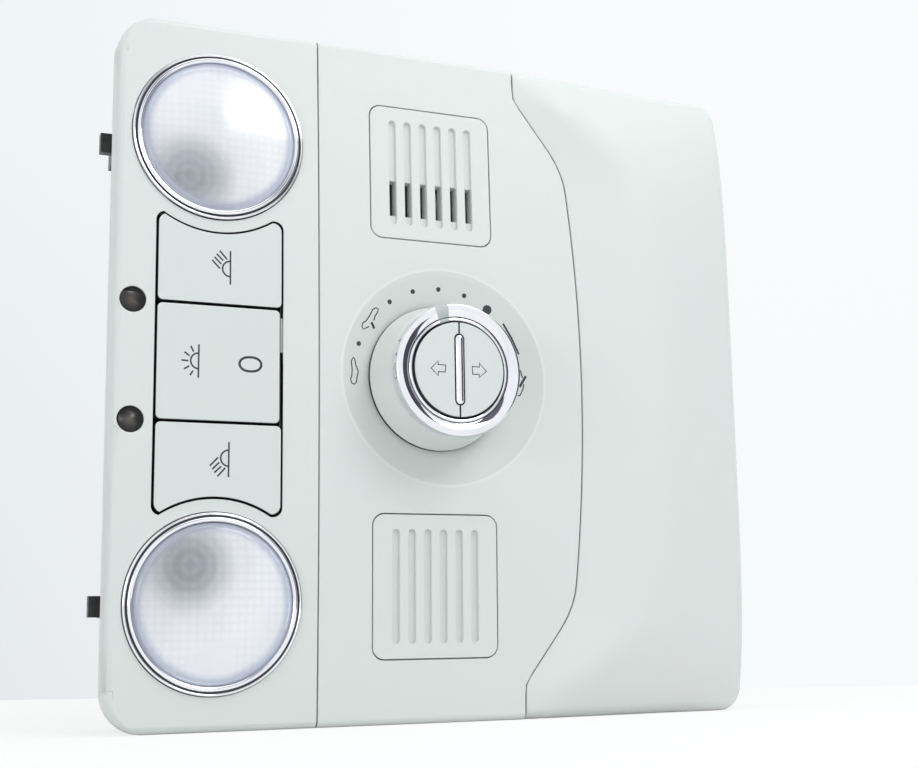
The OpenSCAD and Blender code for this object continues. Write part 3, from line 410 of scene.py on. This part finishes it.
bowl = Finish("reflector_metallised", srgb(252, 252, 253), 0.25, 0.9)
drift = bowl.mixed(
    bowl.between(bowl.noise(70, detail=2), 0.0, 1.0), srgb(254, 254, 254), srgb(244, 246, 249)
)
by_neck = bowl.between(bowl.from_axis(*BULB_NECK), 0.5, 0.0, 6.6, 13)
bowl.link(bowl.mixed(by_neck, drift, srgb(170, 175, 186)), "Base Color")
bowl.worn(0.22, 0.4, 110)
bowl.relief(lattice(bowl, LATTICE), 0.05, 0.5)

steel = Finish("steel", srgb(176, 178, 182), 0.34, 1.0)
steel.varied(srgb(150, 152, 150), 500, 0.8).worn(0.26, 0.46, 900)
steel.relief(steel.noise(2600, stretch=(1, 0.1, 1)), 0.01, 0.3)
spring_steel = Finish("spring_steel", srgb(62, 63, 66), 0.38, 0.8)
spring_steel.varied(srgb(78, 76, 74), 600, 1.0).worn(0.3, 0.5, 700)
spring_steel.relief(spring_steel.noise(3000, stretch=(0.1, 1, 1)), 0.008, 0.3)
brass = Finish("contact_brass", srgb(214, 186, 112), 0.24, 1.0)
brass.varied(srgb(196, 160, 92), 900, 1.0).worn(0.18, 0.34, 1500)
board = moulded("board", srgb(26, 92, 62), srgb(34, 108, 70), 0.34, 0.01, 2600)
sign_ink = moulded("sign_ink", srgb(46, 51, 54), srgb(58, 63, 66), 0.55, 0.004, 4000)

SLOTS = {
    "shell_plastic": shell_plastic,
    "button_plastic": button_plastic,
    "trim_chrome": trim_chrome,
    "lamp_lens": lamp_glass,
    "reflector_metallised": bowl,
    "bulb_glass": bulb_glass,
    "housing_plastic": housing_plastic,
    "black_plastic": black_plastic,
    "ambient_glass": ambient_glass,
    "steel": steel,
    "spring_steel": spring_steel,
    "contact_brass": brass,
    "board": board,
    "carrier_plastic": carrier_plastic,
    "pointer_plastic": pointer_plastic,
}


# Making pieces


def piece(name, bm, body, slot, covers=(), sharp=32, finish=None, second=None):
    """Makes a mesh in millimetres a finished piece; walls of index 1 get the second finish."""
    bmesh.ops.transform(bm, matrix=FROM_MM, verts=bm.verts)
    mesh = bpy.data.meshes.new(name)
    bm.to_mesh(mesh)
    bm.free()
    mesh.materials.append((finish or SLOTS[slot]).material)
    if second:
        mesh.materials.append(second.material)
    mesh.polygons.foreach_set("use_smooth", [True] * len(mesh.polygons))
    mesh.set_sharp_from_angle(angle=math.radians(sharp))
    made = bpy.data.objects.new(name, mesh)
    scene.collection.objects.link(made)
    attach(made, body)
    if covers:
        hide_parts(*covers)
    return made


def merged(node):
    """A merged copy of a CAD node in millimetres."""
    bm = bmesh.new()
    bm.from_mesh(nodes[node].data)
    bmesh.ops.transform(bm, matrix=TO_MM, verts=bm.verts)
    bmesh.ops.remove_doubles(bm, verts=bm.verts, dist=0.002)
    return bm


def flattened(bm, limit=0.2):
    """Joins triangles that lie in one plane, so that edges can be rounded."""
    bmesh.ops.dissolve_limit(
        bm, angle_limit=math.radians(limit), use_dissolve_boundaries=False,
        verts=bm.verts, edges=bm.edges, delimit={"NORMAL"},
    )


def rounded(bm, edges, radius, segments=3):
    """Rounds the given edges."""
    bmesh.ops.bevel(
        bm, geom=edges, offset=radius, segments=segments, profile=0.5, affect="EDGES",
        material=-1, clamp_overlap=True,
    )


def sharp_edges(bm, test, least=50):
    """Edges that fold outwards by at least this angle and pass the test."""
    return [
        e for e in bm.edges
        if e.is_manifold and e.is_convex and e.calc_face_angle(0) > math.radians(least)
        and test(e.verts[0].co, e.verts[1].co)
    ]


def lit_by(made, normal_at):
    """Sets the shading of a piece where normal_at knows the true surface."""
    mesh = made.data
    spots = [TO_MM @ v.co for v in mesh.vertices]
    normals = []
    for face in mesh.polygons:
        middle = TO_MM @ face.center
        for i in face.vertices:
            true = normal_at(i, spots[i], middle)
            near = true is not None and true.dot(face.normal) > 0.6
            normals.append(true if near else (0, 0, 0))
    mesh.normals_split_custom_set(normals)
    return made


def flats_kept(made, least=1.5):
    """Keeps broad flat faces evenly lit up to their rounded edges."""
    broad = {}
    for face in made.data.polygons:
        if face.area * 1e6 > least and abs(face.normal.y) > 0.9:
            for i in face.vertices:
                if i not in broad or broad[i][0] < face.area:
                    broad[i] = (face.area, face.normal.copy())
    return lit_by(made, lambda i, spot, middle: broad[i][1] if i in broad else None)


def panel_normal(i, spot, middle):
    """Normal of the crowned face, or of the dish where the face lies in it."""
    in_dish = middle.x > 27 and dish_level(middle.x, middle.z) > crown(middle.z) + 0.01
    level = dish_level(spot.x, spot.z) if in_dish else crown(spot.z)
    if abs(spot.y - level) > 0.03:
        return None
    if in_dish:
        inward = Vector((DISH[0] - spot.x, 0, DISH[1] - spot.z)).normalized()
        away = math.hypot(middle.x - DISH[0], middle.z - DISH[1])
        slope = DISH_DEEP / (DISH_RIM - DISH_FLOOR) if away > DISH_FLOOR else 0
        return (inward * slope + Vector((0, -1, 0))).normalized()
    return Vector((0, -math.sqrt(1 - (spot.z / CROWN_R) ** 2), spot.z / CROWN_R))


def shaded(bm, test):
    """Gives the walls that pass the test the second finish."""
    for f in bm.faces:
        if abs(f.normal.y) < 0.3 and test(f.calc_center_median()):
            f.material_index = 1


CARRIED = {
    "trim_chrome": ["shade_bar"],
    "lamp_lens": ["upper_lamp_lens", "lower_lamp_lens"],
    "reflector_metallised": ["upper_reflector", "lower_reflector"],
    "bulb_glass": ["upper_bulb", "lower_bulb"],
    "housing_plastic": ["lamp_housing", "upper_bulb_holder", "lower_bulb_holder", "ambient_lamps"],
    "black_plastic": [
        "button_frame", "dial_core", "dial_rotor", "dial_switch_housing", "microphone_holder",
        "rocker_switches", "upper_push_switch", "lower_push_switch",
    ],
    "ambient_glass": ["upper_ambient_lens", "lower_ambient_lens"],
    "steel": ["rocker_pin", "housing_screws", "dial_screws", "carrier_screws", "microphone"],
    "spring_steel": ["edge_clips"],
    "contact_brass": ["lamp_socket_pins", "dial_socket_pins"],
    "board": ["circuit_board"],
    "carrier_plastic": ["rear_carrier"],
}
body_of = {name: node["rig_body"] for name, node in nodes.items()}

for slot_name, members in CARRIED.items():
    for member in members:
        copy = piece(member + "_part", merged(member), body_of[member], slot_name, [member])
        if slot_name in ("lamp_lens", "bulb_glass"):
            copy.visible_shadow = False


# Panels


FRONT_RIM = 1.9


def shell_panel(node, dark=None):
    """A face panel or grille with soft front edges, dark on the walls that pass the test."""
    bm = merged(node)
    if node == "centre_panel":
        for v in bm.verts:
            if shallow_dish(v.co.x, v.co.z) > crown(v.co.z) - 0.02:
                if abs(v.co.y - shallow_dish(v.co.x, v.co.z)) < 0.06:
                    v.co.y = dish_level(v.co.x, v.co.z)
    flattened(bm)
    front = sharp_edges(bm, lambda a, b: max(a.y, b.y) < FRONT_RIM)
    rounded(bm, front, 0.45 if "grille" in node else 0.3)
    bm.normal_update()
    if dark:
        shaded(bm, dark)
    finish = dial_panel if node == "centre_panel" else shell_plastic
    made = piece(node + "_part", bm, body_of[node], "shell_plastic", [node], finish=finish,
                 second=gap_shade)
    return flats_kept(made) if "grille" in node else lit_by(made, panel_normal)


def in_button_gap(p):
    return -16.6 < p.x < 17.6 and abs(p.z) < 41 and p.y > 0.35 and not in_side_rib(p)


def in_side_rib(p):
    return p.x > 16.1 and 3.6 < p.z < 13 and p.y < 2.0


def in_seam(p):
    at_wave = p.x > SEAM_END_X - 0.9 and abs(p.x - wave_x(p.z)) < 1
    return p.y > 0.9 and (abs(p.x - PANEL_SEAM_X) < 1 or at_wave)


def in_grille_opening(p):
    return p.y > 0.6 and abs(p.x - GRILLE[0]) < 15.5 and abs(abs(p.z) - GRILLE[1]) < 15.5


shell_panel("lamp_panel", lambda p: in_button_gap(p) or in_seam(p))
shell_panel("centre_panel", lambda p: in_grille_opening(p) or in_seam(p))
shell_panel("microphone_grille")
shell_panel("blind_grille")


def crowded(t, start, end):
    """0 to 1 with the steps crowded towards the start and the end."""
    smooth = t * t * (3 - 2 * t)
    return t + (smooth - t) * (start if t < 0.5 else end)


COVER_GAP = 0.2


def front_cover():
    """The pillow-shaped cover as one smooth skin, a small gap away from the wave seam."""
    bm = bmesh.new()
    bmesh.ops.create_grid(bm, x_segments=96, y_segments=150, size=0.5)
    for v in bm.verts:
        z = HALF_HIGH * (2 * crowded(v.co.y + 0.5, 0.85, 0.85) - 1)
        left, right = wave_x(z) + COVER_GAP, cover_right(z)
        x = left + (right - left) * crowded(v.co.x + 0.5, 0.4, 0.9)
        v.co = Vector((x, -cover_rise(x, z), z))
    rim = [e for e in bm.edges if e.is_boundary]
    walls = bmesh.ops.extrude_edge_only(bm, edges=rim)["geom"]
    for v in walls:
        if isinstance(v, bmesh.types.BMVert):
            v.co.y = SHELL_BACK
    bmesh.ops.recalc_face_normals(bm, faces=bm.faces)
    seam = [
        e for e in bm.edges
        if not e.is_boundary and e.calc_face_angle(0) > math.radians(50)
        and all(abs(v.co.x - wave_x(v.co.z) - COVER_GAP) < 0.02 and v.co.y < SHELL_BACK - 0.1
                for v in e.verts)
    ]
    rounded(bm, seam, 0.4)
    bmesh.ops.solidify(bm, geom=bm.faces[:] + bm.verts[:] + bm.edges[:], thickness=SKIN)
    return piece("front_cover_part", bm, "console", "shell_plastic", ["front_cover"])


front_cover()


# Buttons


CAP_SLIMMER = 0.12
HALF_WIDER = 0.3


def button(node, inner_corners):
    """A button cap, a little smaller than the CAD one, with soft corners and edges."""
    bm = merged(node)
    ends = [(min(v.co[k] for v in bm.verts), max(v.co[k] for v in bm.verts)) for k in (0, 2)]
    (x0, x1), (z0, z1) = ends
    middle = Matrix.Translation(((x0 + x1) / 2, 0, (z0 + z1) / 2))
    less = Matrix.Diagonal(
        (1 - 2 * CAP_SLIMMER / (x1 - x0), 1, 1 - 2 * CAP_SLIMMER / (z1 - z0), 1)
    )
    bmesh.ops.transform(bm, matrix=middle @ less @ middle.inverted(), verts=bm.verts)
    flattened(bm)
    corners = [
        e for e in bm.edges
        if e.is_manifold and e.is_convex and e.calc_face_angle(0) > math.radians(60)
        and abs(e.verts[0].co.y - e.verts[1].co.y) > 5
        and any(abs(e.verts[0].co.z - z) < 0.5 for z in inner_corners)
    ]
    rounded(bm, corners, 1.2, 5)
    rounded(bm, sharp_edges(bm, lambda a, b: max(a.y, b.y) < 1.4), 0.35)
    bm.normal_update()
    shaded(bm, lambda p: p.y > 0.3)
    return flats_kept(
        piece(node + "_part", bm, body_of[node], "button_plastic", [node], second=gap_shade)
    )


button("upper_light_button", [15.15])
button("lower_light_button", [-15.15])
button("centre_rocker", [14.65, -14.65])


def shade_half(node):
    """Half of the push face, out to a thin gap inside the polished ring."""
    bm = merged(node)
    outer = max(math.hypot(v.co.x - DIAL[0], v.co.z - DIAL[1]) for v in bm.verts)
    for v in bm.verts:
        away = Vector((v.co.x - DIAL[0], 0, v.co.z - DIAL[1]))
        if away.length > outer - 0.03:
            v.co += away.normalized() * HALF_WIDER
    flattened(bm)
    rounded(bm, sharp_edges(bm, lambda a, b: max(a.y, b.y) < SHADE_FACE_Y + 0.2), 0.25, 2)
    bm.normal_update()
    shaded(bm, lambda p: p.y > SHADE_FACE_Y + 0.45)
    return flats_kept(
        piece(node + "_part", bm, body_of[node], "button_plastic", [node], second=groove_shade)
    )


shade_half("left_shade_button")
shade_half("right_shade_button")


# Polished rings


def quarter(r, y, wide, high, start, end, steps=9):
    """Points of an arc of a bead's section, from one angle to another in degrees."""
    turns = [math.radians(start + (end - start) * i / steps) for i in range(steps + 1)]
    return [(r + wide * math.cos(a), y - high * math.sin(a)) for a in turns]


def turned(name, section, place, body, slot, covers, start=0, sweep=360, dark=None):
    """Turns a closed section (radius, depth) about the y axis, with dark walls where asked."""
    bm = bmesh.new()
    spots = [bm.verts.new((r, y, 0)) for r, y in section]
    loop = [bm.edges.new(pair) for pair in zip(spots, spots[1:] + spots[:1])]
    bmesh.ops.rotate(bm, verts=spots, matrix=Matrix.Rotation(math.radians(-start), 3, "Y"))
    full = sweep == 360
    bmesh.ops.spin(
        bm, geom=spots + loop, cent=(0, 0, 0), axis=(0, -1, 0), angle=math.radians(sweep),
        steps=max(round(sweep / 2.25), 8), use_merge=full,
    )
    if full:
        bmesh.ops.remove_doubles(bm, verts=bm.verts, dist=0.0005)
    else:
        bmesh.ops.edgeloop_fill(bm, edges=[e for e in bm.edges if e.is_boundary])
    bmesh.ops.recalc_face_normals(bm, faces=bm.faces)
    for f in bm.faces:
        spot = f.calc_center_median()
        if dark and dark(math.hypot(spot.x, spot.z), spot.y):
            f.material_index = 1
    bmesh.ops.transform(bm, matrix=place, verts=bm.verts)
    return piece(name, bm, body, slot, covers, sharp=38, second=groove_shade)


LAMP_RING = (
    [(22.12, 3.4)] + quarter(21.8, -0.45, 0.32, 0.35, 0, 180)
    + [(21.42, 0.1), (21.12, 0.1)]
    + quarter(20.45, -0.45, 0.6, 0.7, 0, 90) + quarter(20.45, -0.45, 0.65, 0.7, 90, 165)
    + [(19.72, 0.2), (19.72, 3.4)]
)
for side, node in ((1, "upper_lamp_ring"), (-1, "lower_lamp_ring")):
    tip = Matrix.Rotation(-side * math.asin(LAMP_Z / CROWN_R), 4, "X")
    turned(
        node + "_part", LAMP_RING,
        Matrix.Translation((0, crown(LAMP_Z), side * LAMP_Z)) @ tip,
        "console", "trim_chrome", [node],
        dark=lambda r, y: 21.05 < r < 21.45 and y > -0.3,
    )

CREST = -14.6
KNOB_SECTION = (
    [(17.25, -10.8)] + quarter(16.85, CREST + 0.7, 0.4, 0.62, 0, 90, 6)
    + [(15.8 - t, CREST + 0.15 * t + 0.13 * t * t) for t in (i * 0.185 for i in range(11))]
    + [(13.9, -13.3), (13.74, -13.3)] + quarter(13.22, -13.65, 0.5, 0.42, 0, 180, 12)
    + [(12.7, -10.8)]
)
POINTER_AT, POINTER_HALF = 107, 6.1
AT_DIAL = Matrix.Translation((DIAL[0], 0, DIAL[1]))
turned(
    "knob_ring_part", KNOB_SECTION, AT_DIAL, "dial", "trim_chrome", ["knob_ring"],
    POINTER_AT + POINTER_HALF, 360 - 2 * POINTER_HALF,
    dark=lambda r, y: r < 12.75 or 13.74 < r < 13.93 and y > -13.75,
)
turned(
    "knob_pointer_part", KNOB_SECTION, AT_DIAL, "dial", "pointer_plastic", ["knob_pointer"],
    POINTER_AT - POINTER_HALF + 0.15, 2 * POINTER_HALF - 0.3,
)


# The knob's skirt ends a little above the panel, over a dark ring that is painted shade for the
# gap under the skirt

skirt = merged("knob_skirt")
for v in skirt.verts:
    if v.co.y < 1 and math.hypot(v.co.x - DIAL[0], v.co.z - DIAL[1]) > KNOB_FOOT - 1.7:
        v.co.y = min(v.co.y, 0.1)
piece("knob_skirt_part", skirt, "dial", "shell_plastic", ["knob_skirt"])
foot_shade_ring = bmesh.new()
bmesh.ops.create_cone(
    foot_shade_ring, cap_ends=False, segments=128, radius1=KNOB_FOOT - 0.3, radius2=KNOB_FOOT - 0.3,
    depth=1.35,
    matrix=Matrix.Translation((DIAL[0], 0.9, DIAL[1])) @ Matrix.Rotation(math.pi / 2, 4, "X"),
)
piece("knob_foot_shade_ring", foot_shade_ring, "dial", "black_plastic")


# Printed signs


SIGN_PROUD = 0.012
SIGN_FLATTER = 0.08
LINE, THIN_LINE, THICK_LINE = 0.42, 0.34, 0.7
DOT, BIG_DOT = 0.64, 1.3


def arc(x, z, r, start, end, steps=16):
    """Points of an arc, from one angle to another in degrees."""
    turns = [math.radians(start + (end - start) * i / steps) for i in range(steps + 1)]
    return [(x + r * math.cos(a), z + r * math.sin(a)) for a in turns]


def squarish_oval(x, z, half_wide, half_high, steps=40):
    """Points of an oval with fuller sides, as a printed 0 has."""
    turns = [math.tau * i / steps for i in range(steps)]
    return [
        (x + half_wide * math.copysign(abs(math.cos(a)) ** 0.82, math.cos(a)),
         z + half_high * math.sin(a))
        for a in turns
    ]


def signs(name, strokes, dots, level, body):
    """Prints strokes (points, width, closed) and dots (x, z, radius) on a face."""
    curve = bpy.data.curves.new(name, "CURVE")
    curve.dimensions = "3D"
    curve.bevel_depth = 1.0
    curve.bevel_resolution = 2
    curve.use_fill_caps = True
    for points, width, closed in strokes:
        spline = curve.splines.new("POLY")
        spline.points.add(len(points) - 1)
        spline.use_cyclic_u = closed
        for spot, (x, z) in zip(spline.points, points):
            spot.co = (x, 0, z, 1)
            spot.radius = width / 2
    drawn = bpy.data.objects.new(name + "_lines", curve)
    scene.collection.objects.link(drawn)
    lines = bpy.data.meshes.new_from_object(
        drawn.evaluated_get(bpy.context.evaluated_depsgraph_get())
    )
    bm = bmesh.new()
    bm.from_mesh(lines)
    bpy.data.objects.remove(drawn)
    bpy.data.meshes.remove(lines)
    for x, z, radius in dots:
        bmesh.ops.create_cone(
            bm, cap_ends=True, segments=40, radius1=radius, radius2=radius, depth=0.4,
            matrix=Matrix.Translation((x, 0, z)) @ Matrix.Rotation(math.pi / 2, 4, "X"),
        )
    for v in bm.verts:
        v.co.y = level(v.co.x, v.co.z) - SIGN_PROUD + SIGN_FLATTER * v.co.y
    bmesh.ops.recalc_face_normals(bm, faces=bm.faces)
    return piece(name, bm, body, None, sharp=40, finish=sign_ink)


def reading_sign(side, shift):
    """Lamp sign with four slanted rays; mirrored for the lower button."""
    def put(points):
        return [(x + shift, z if side > 0 else 0.55 - z) for x, z in points]

    strokes = [put([(2.96, 29.04), (2.98, 20.28)]), put(arc(2.95, 24.33, 2.0, 90, 270))]
    strokes += [
        put(ray) for ray in (
            [(0.2, 28.89), (2.1, 26.77)],
            [(-0.61, 28.02), (1.12, 26.38)],
            [(-1.15, 27.18), (0.6, 25.44)],
            [(-1.73, 26.33), (0.3, 24.22)],
        )
    ]
    return [(points, LINE, False) for points in strokes]


signs("upper_button_sign", reading_sign(1, 0), [], light_button_level, "upper_button")
signs("lower_button_sign", reading_sign(-1, 0.1), [], light_button_level, "lower_button")
signs(
    "rocker_signs",
    [
        ([(-4.81, 4.42), (-4.86, -4.02)], LINE, False),
        (arc(-4.85, 0.23, 1.97, 90, 270), LINE, False),
        ([(-6.84, 3.91), (-6.13, 2.48)], LINE, False),
        ([(-8.42, 2.32), (-7.11, 1.39)], LINE, False),
        ([(-9.12, 0.22), (-7.42, 0.14)], LINE, False),
        ([(-8.45, -1.97), (-7.17, -1.18)], LINE, False),
        ([(-6.91, -3.47), (-6.24, -2.31)], LINE, False),
        (squarish_oval(8.33, 0.12, 2.8, 1.8), 0.62, True),
    ],
    [],
    lambda x, z: -BUTTONS_PROUD,
    "rocker",
)
signs(
    "dial_signs",
    [
        ([(35.89, 3.73), (35.32, 2.64), (35.51, 1.41), (35.58, 0.53), (35.5, -1.06),
          (35.12, -2.14), (35.49, -3.11), (36.24, -3.31), (36.8, -2.75), (37, -1.32),
          (37.38, 0.12), (36.63, 1.84), (36.33, 3.41)], THIN_LINE, True),
        ([(41.71, 13.96), (42.08, 15.24), (42.73, 16.19), (42.95, 17.11), (42.25, 17.41),
          (41.32, 16.8), (40.56, 15.3), (39.44, 13.6), (38.5, 12.99), (38.32, 12.08),
          (38.69, 11.4), (40.39, 12.25)], THIN_LINE, False),
        ([(41.07, 13.48), (41.9, 11.84)], THICK_LINE, False),
        ([(79.2, 15.7), (81.6, 11.95), (83.75, 7.5)], 0.55, False),
        ([(84.1, 3.18), (84.7, 1.09)], 0.36, False),
        ([(85.66, 1.53), (83.81, -1.53)], THICK_LINE, False),
        ([(85.02, -0.73), (84.78, -2.04), (83.87, -3.93), (83.16, -3.88)], 0.36, False),
    ],
    [(37.47, 7.5, DOT), (46.17, 19.31, DOT), (52.79, 22.63, DOT), (60.19, 23.81, DOT),
     (67.74, 22.66, DOT), (74.48, 19.26, BIG_DOT)],
    dish_level,
    "console",
)
signs(
    "left_arrow",
    [([(51.62, -0.82), (53.56, 1.16), (53.54, 0.22), (55.65, 0.17), (55.47, -1.65),
       (53.59, -1.61), (53.57, -2.72)], THIN_LINE, True)],
    [], lambda x, z: SHADE_FACE_Y, "left_shade",
)
signs(
    "right_arrow",
    [([(66.97, -0.83), (65.05, 1.24), (65.03, 0.18), (63.03, 0.25), (63.11, -1.78),
       (64.99, -1.75), (64.86, -2.63)], THIN_LINE, True)],
    [], lambda x, z: SHADE_FACE_Y, "right_shade",
)


# Stage, lamps and camera


def backdrop(name, colour, matrix, size=3.0):
    """A plain square of the stage; gives the object and its finish."""
    mesh = bpy.data.meshes.new(name)
    bm = bmesh.new()
    bmesh.ops.create_grid(bm, x_segments=1, y_segments=1, size=size, matrix=matrix)
    bm.to_mesh(mesh)
    bm.free()
    made = bpy.data.objects.new(name, mesh)
    scene.collection.objects.link(made)
    finish = Finish(name, colour, 0.9)
    finish.varied(tuple(c * 0.985 for c in colour[:3]) + (1,), 3, 1.0)
    finish.set(Specular_IOR_Level=0.0)
    made.data.materials.append(finish.material)
    return made, finish


def seen_directly(holder):
    """1 for what the camera, a mirror or clear plastic shows, 0 for light that spreads."""
    path = holder.node("LightPath")
    seen = holder.maths("MAXIMUM", path.outputs["Is Camera Ray"], path.outputs["Is Glossy Ray"])
    return holder.maths("MAXIMUM", seen, path.outputs["Is Transmission Ray"])


floor_finish = backdrop("floor", srgb(228, 229, 229), Matrix.Identity(4))[1]

# seen directly the floor is white, with the object's shadow on it
white = floor_finish.node("Emission", {"Color": srgb(254, 255, 255)})
under = floor_finish.node("BsdfDiffuse", {"Color": srgb(252, 253, 253)})
lit = floor_finish.node("MixShader", {0: 0.76, 1: under.outputs[0], 2: white.outputs[0]})
floor_finish.shown_as(seen_directly(floor_finish), floor_finish.shader, lit)

wall_finish = backdrop(
    "wall", srgb(240, 244, 245),
    Matrix.Translation((0, 0.2, 0)) @ Matrix.Rotation(math.radians(-23), 4, "Z")
    @ Matrix.Rotation(math.pi / 2, 4, "X"),
)[1]

# the wall glows evenly for the camera, with painted shade that greys it a little at the lower left
wall_spot = wall_finish.node("SeparateXYZ", {"Vector": wall_finish.placed()})
across = wall_finish.between(wall_spot.outputs["X"], 0.0, 1.0, -0.12, 0.12)
upwards = wall_finish.between(wall_spot.outputs["Z"], 0.0, 1.0, -0.02, 0.26)
low_tone = wall_finish.mixed(across, srgb(226, 230, 232), srgb(247, 250, 251))
high_tone = wall_finish.mixed(across, srgb(239, 244, 246), srgb(249, 251, 252))
glow = wall_finish.node("Emission", {"Color": wall_finish.mixed(upwards, low_tone, high_tone)})
wall_finish.shown_as(seen_directly(wall_finish), wall_finish.shader, glow)


def dark_card(name, colour, at, towards, size):
    """Dark side of the room, that only the polished surfaces show."""
    turn = (Vector(towards) - Vector(at)).to_track_quat("Z", "Y").to_matrix().to_4x4()
    place = Matrix.Translation(at) @ turn
    card, finish = backdrop(name, colour, place, 0.5)
    card.data.transform(place @ Matrix.Diagonal((*size, 1, 1)) @ place.inverted())
    card.visible_camera = card.visible_diffuse = card.visible_shadow = False
    card.visible_transmission = False
    # not there for what is seen through a clear lens
    depth = finish.node("LightPath").outputs["Transparent Depth"]
    finish.shown_as(
        finish.maths("MINIMUM", depth, 1), finish.shader, finish.node("BsdfTransparent")
    )


dark_card("dark_side", srgb(84, 80, 92), (0.373, -0.214, 0.17), (0, -0.03, 0.1), (0.42, 0.36))
dark_card("dark_front", srgb(112, 108, 120), (-0.11, -0.36, 0.5), (0, -0.03, 0.09), (0.42, 0.26))

# the room gives its light evenly, and polished surfaces show it white
ROOM_LIGHT, ROOM_IN_MIRRORS = 0.655, 1.0
world = bpy.data.worlds.new("room")
scene.world = world
world.use_nodes = True
sky = world.node_tree.nodes["Background"]
sky.inputs["Color"].default_value = (0.96, 0.98, 1.0, 1)
room_rays = world.node_tree.nodes.new("ShaderNodeLightPath")
room_level = world.node_tree.nodes.new("ShaderNodeMapRange")
world.node_tree.links.new(room_rays.outputs["Is Glossy Ray"], room_level.inputs["Value"])
room_level.inputs["To Min"].default_value = ROOM_LIGHT
room_level.inputs["To Max"].default_value = ROOM_IN_MIRRORS
world.node_tree.links.new(room_level.outputs["Result"], sky.inputs["Strength"])


def softbox(name, at, towards, size, power):
    """A soft white lamp; its power is in watts."""
    lamp = bpy.data.lights.new(name, "AREA")
    lamp.shape = "RECTANGLE"
    lamp.size, lamp.size_y = size
    lamp.energy = power
    made = bpy.data.objects.new(name, lamp)
    scene.collection.objects.link(made)
    made.location = at
    made.rotation_euler = (Vector(towards) - Vector(at)).to_track_quat("-Z", "Y").to_euler()


softbox("key_lamp", (0.3, -0.56, 0.6), (0, 0, 0.09), (0.4, 0.3), 1.7)
softbox("top_lamp", (0.1, -0.22, 0.85), (0, -0.05, 0.09), (0.7, 0.4), 1.3)
softbox("low_lamp", (-0.9, -0.45, 0.15), (0, 0, 0.08), (0.5, 0.4), 1.7)
softbox("right_lamp", (0.75, -0.5, 0.4), (0, 0, 0.08), (0.4, 0.4), 0.2)

# the camera was fitted to the outline, the lamp circles and the seams
camera = bpy.data.cameras.new("camera")
camera.lens = 57.086
camera.sensor_width = 36
camera.sensor_fit = "HORIZONTAL"
camera.clip_start = 0.01
viewer = bpy.data.objects.new("camera", camera)
viewer.location = (-0.14850656, -0.36524413, 0.02242233)
viewer.rotation_euler = [math.radians(a) for a in (99.752588, 0.909126, -23.001120)]
scene.collection.objects.link(viewer)
scene.camera = viewer
scene.view_settings.view_transform = "Standard"
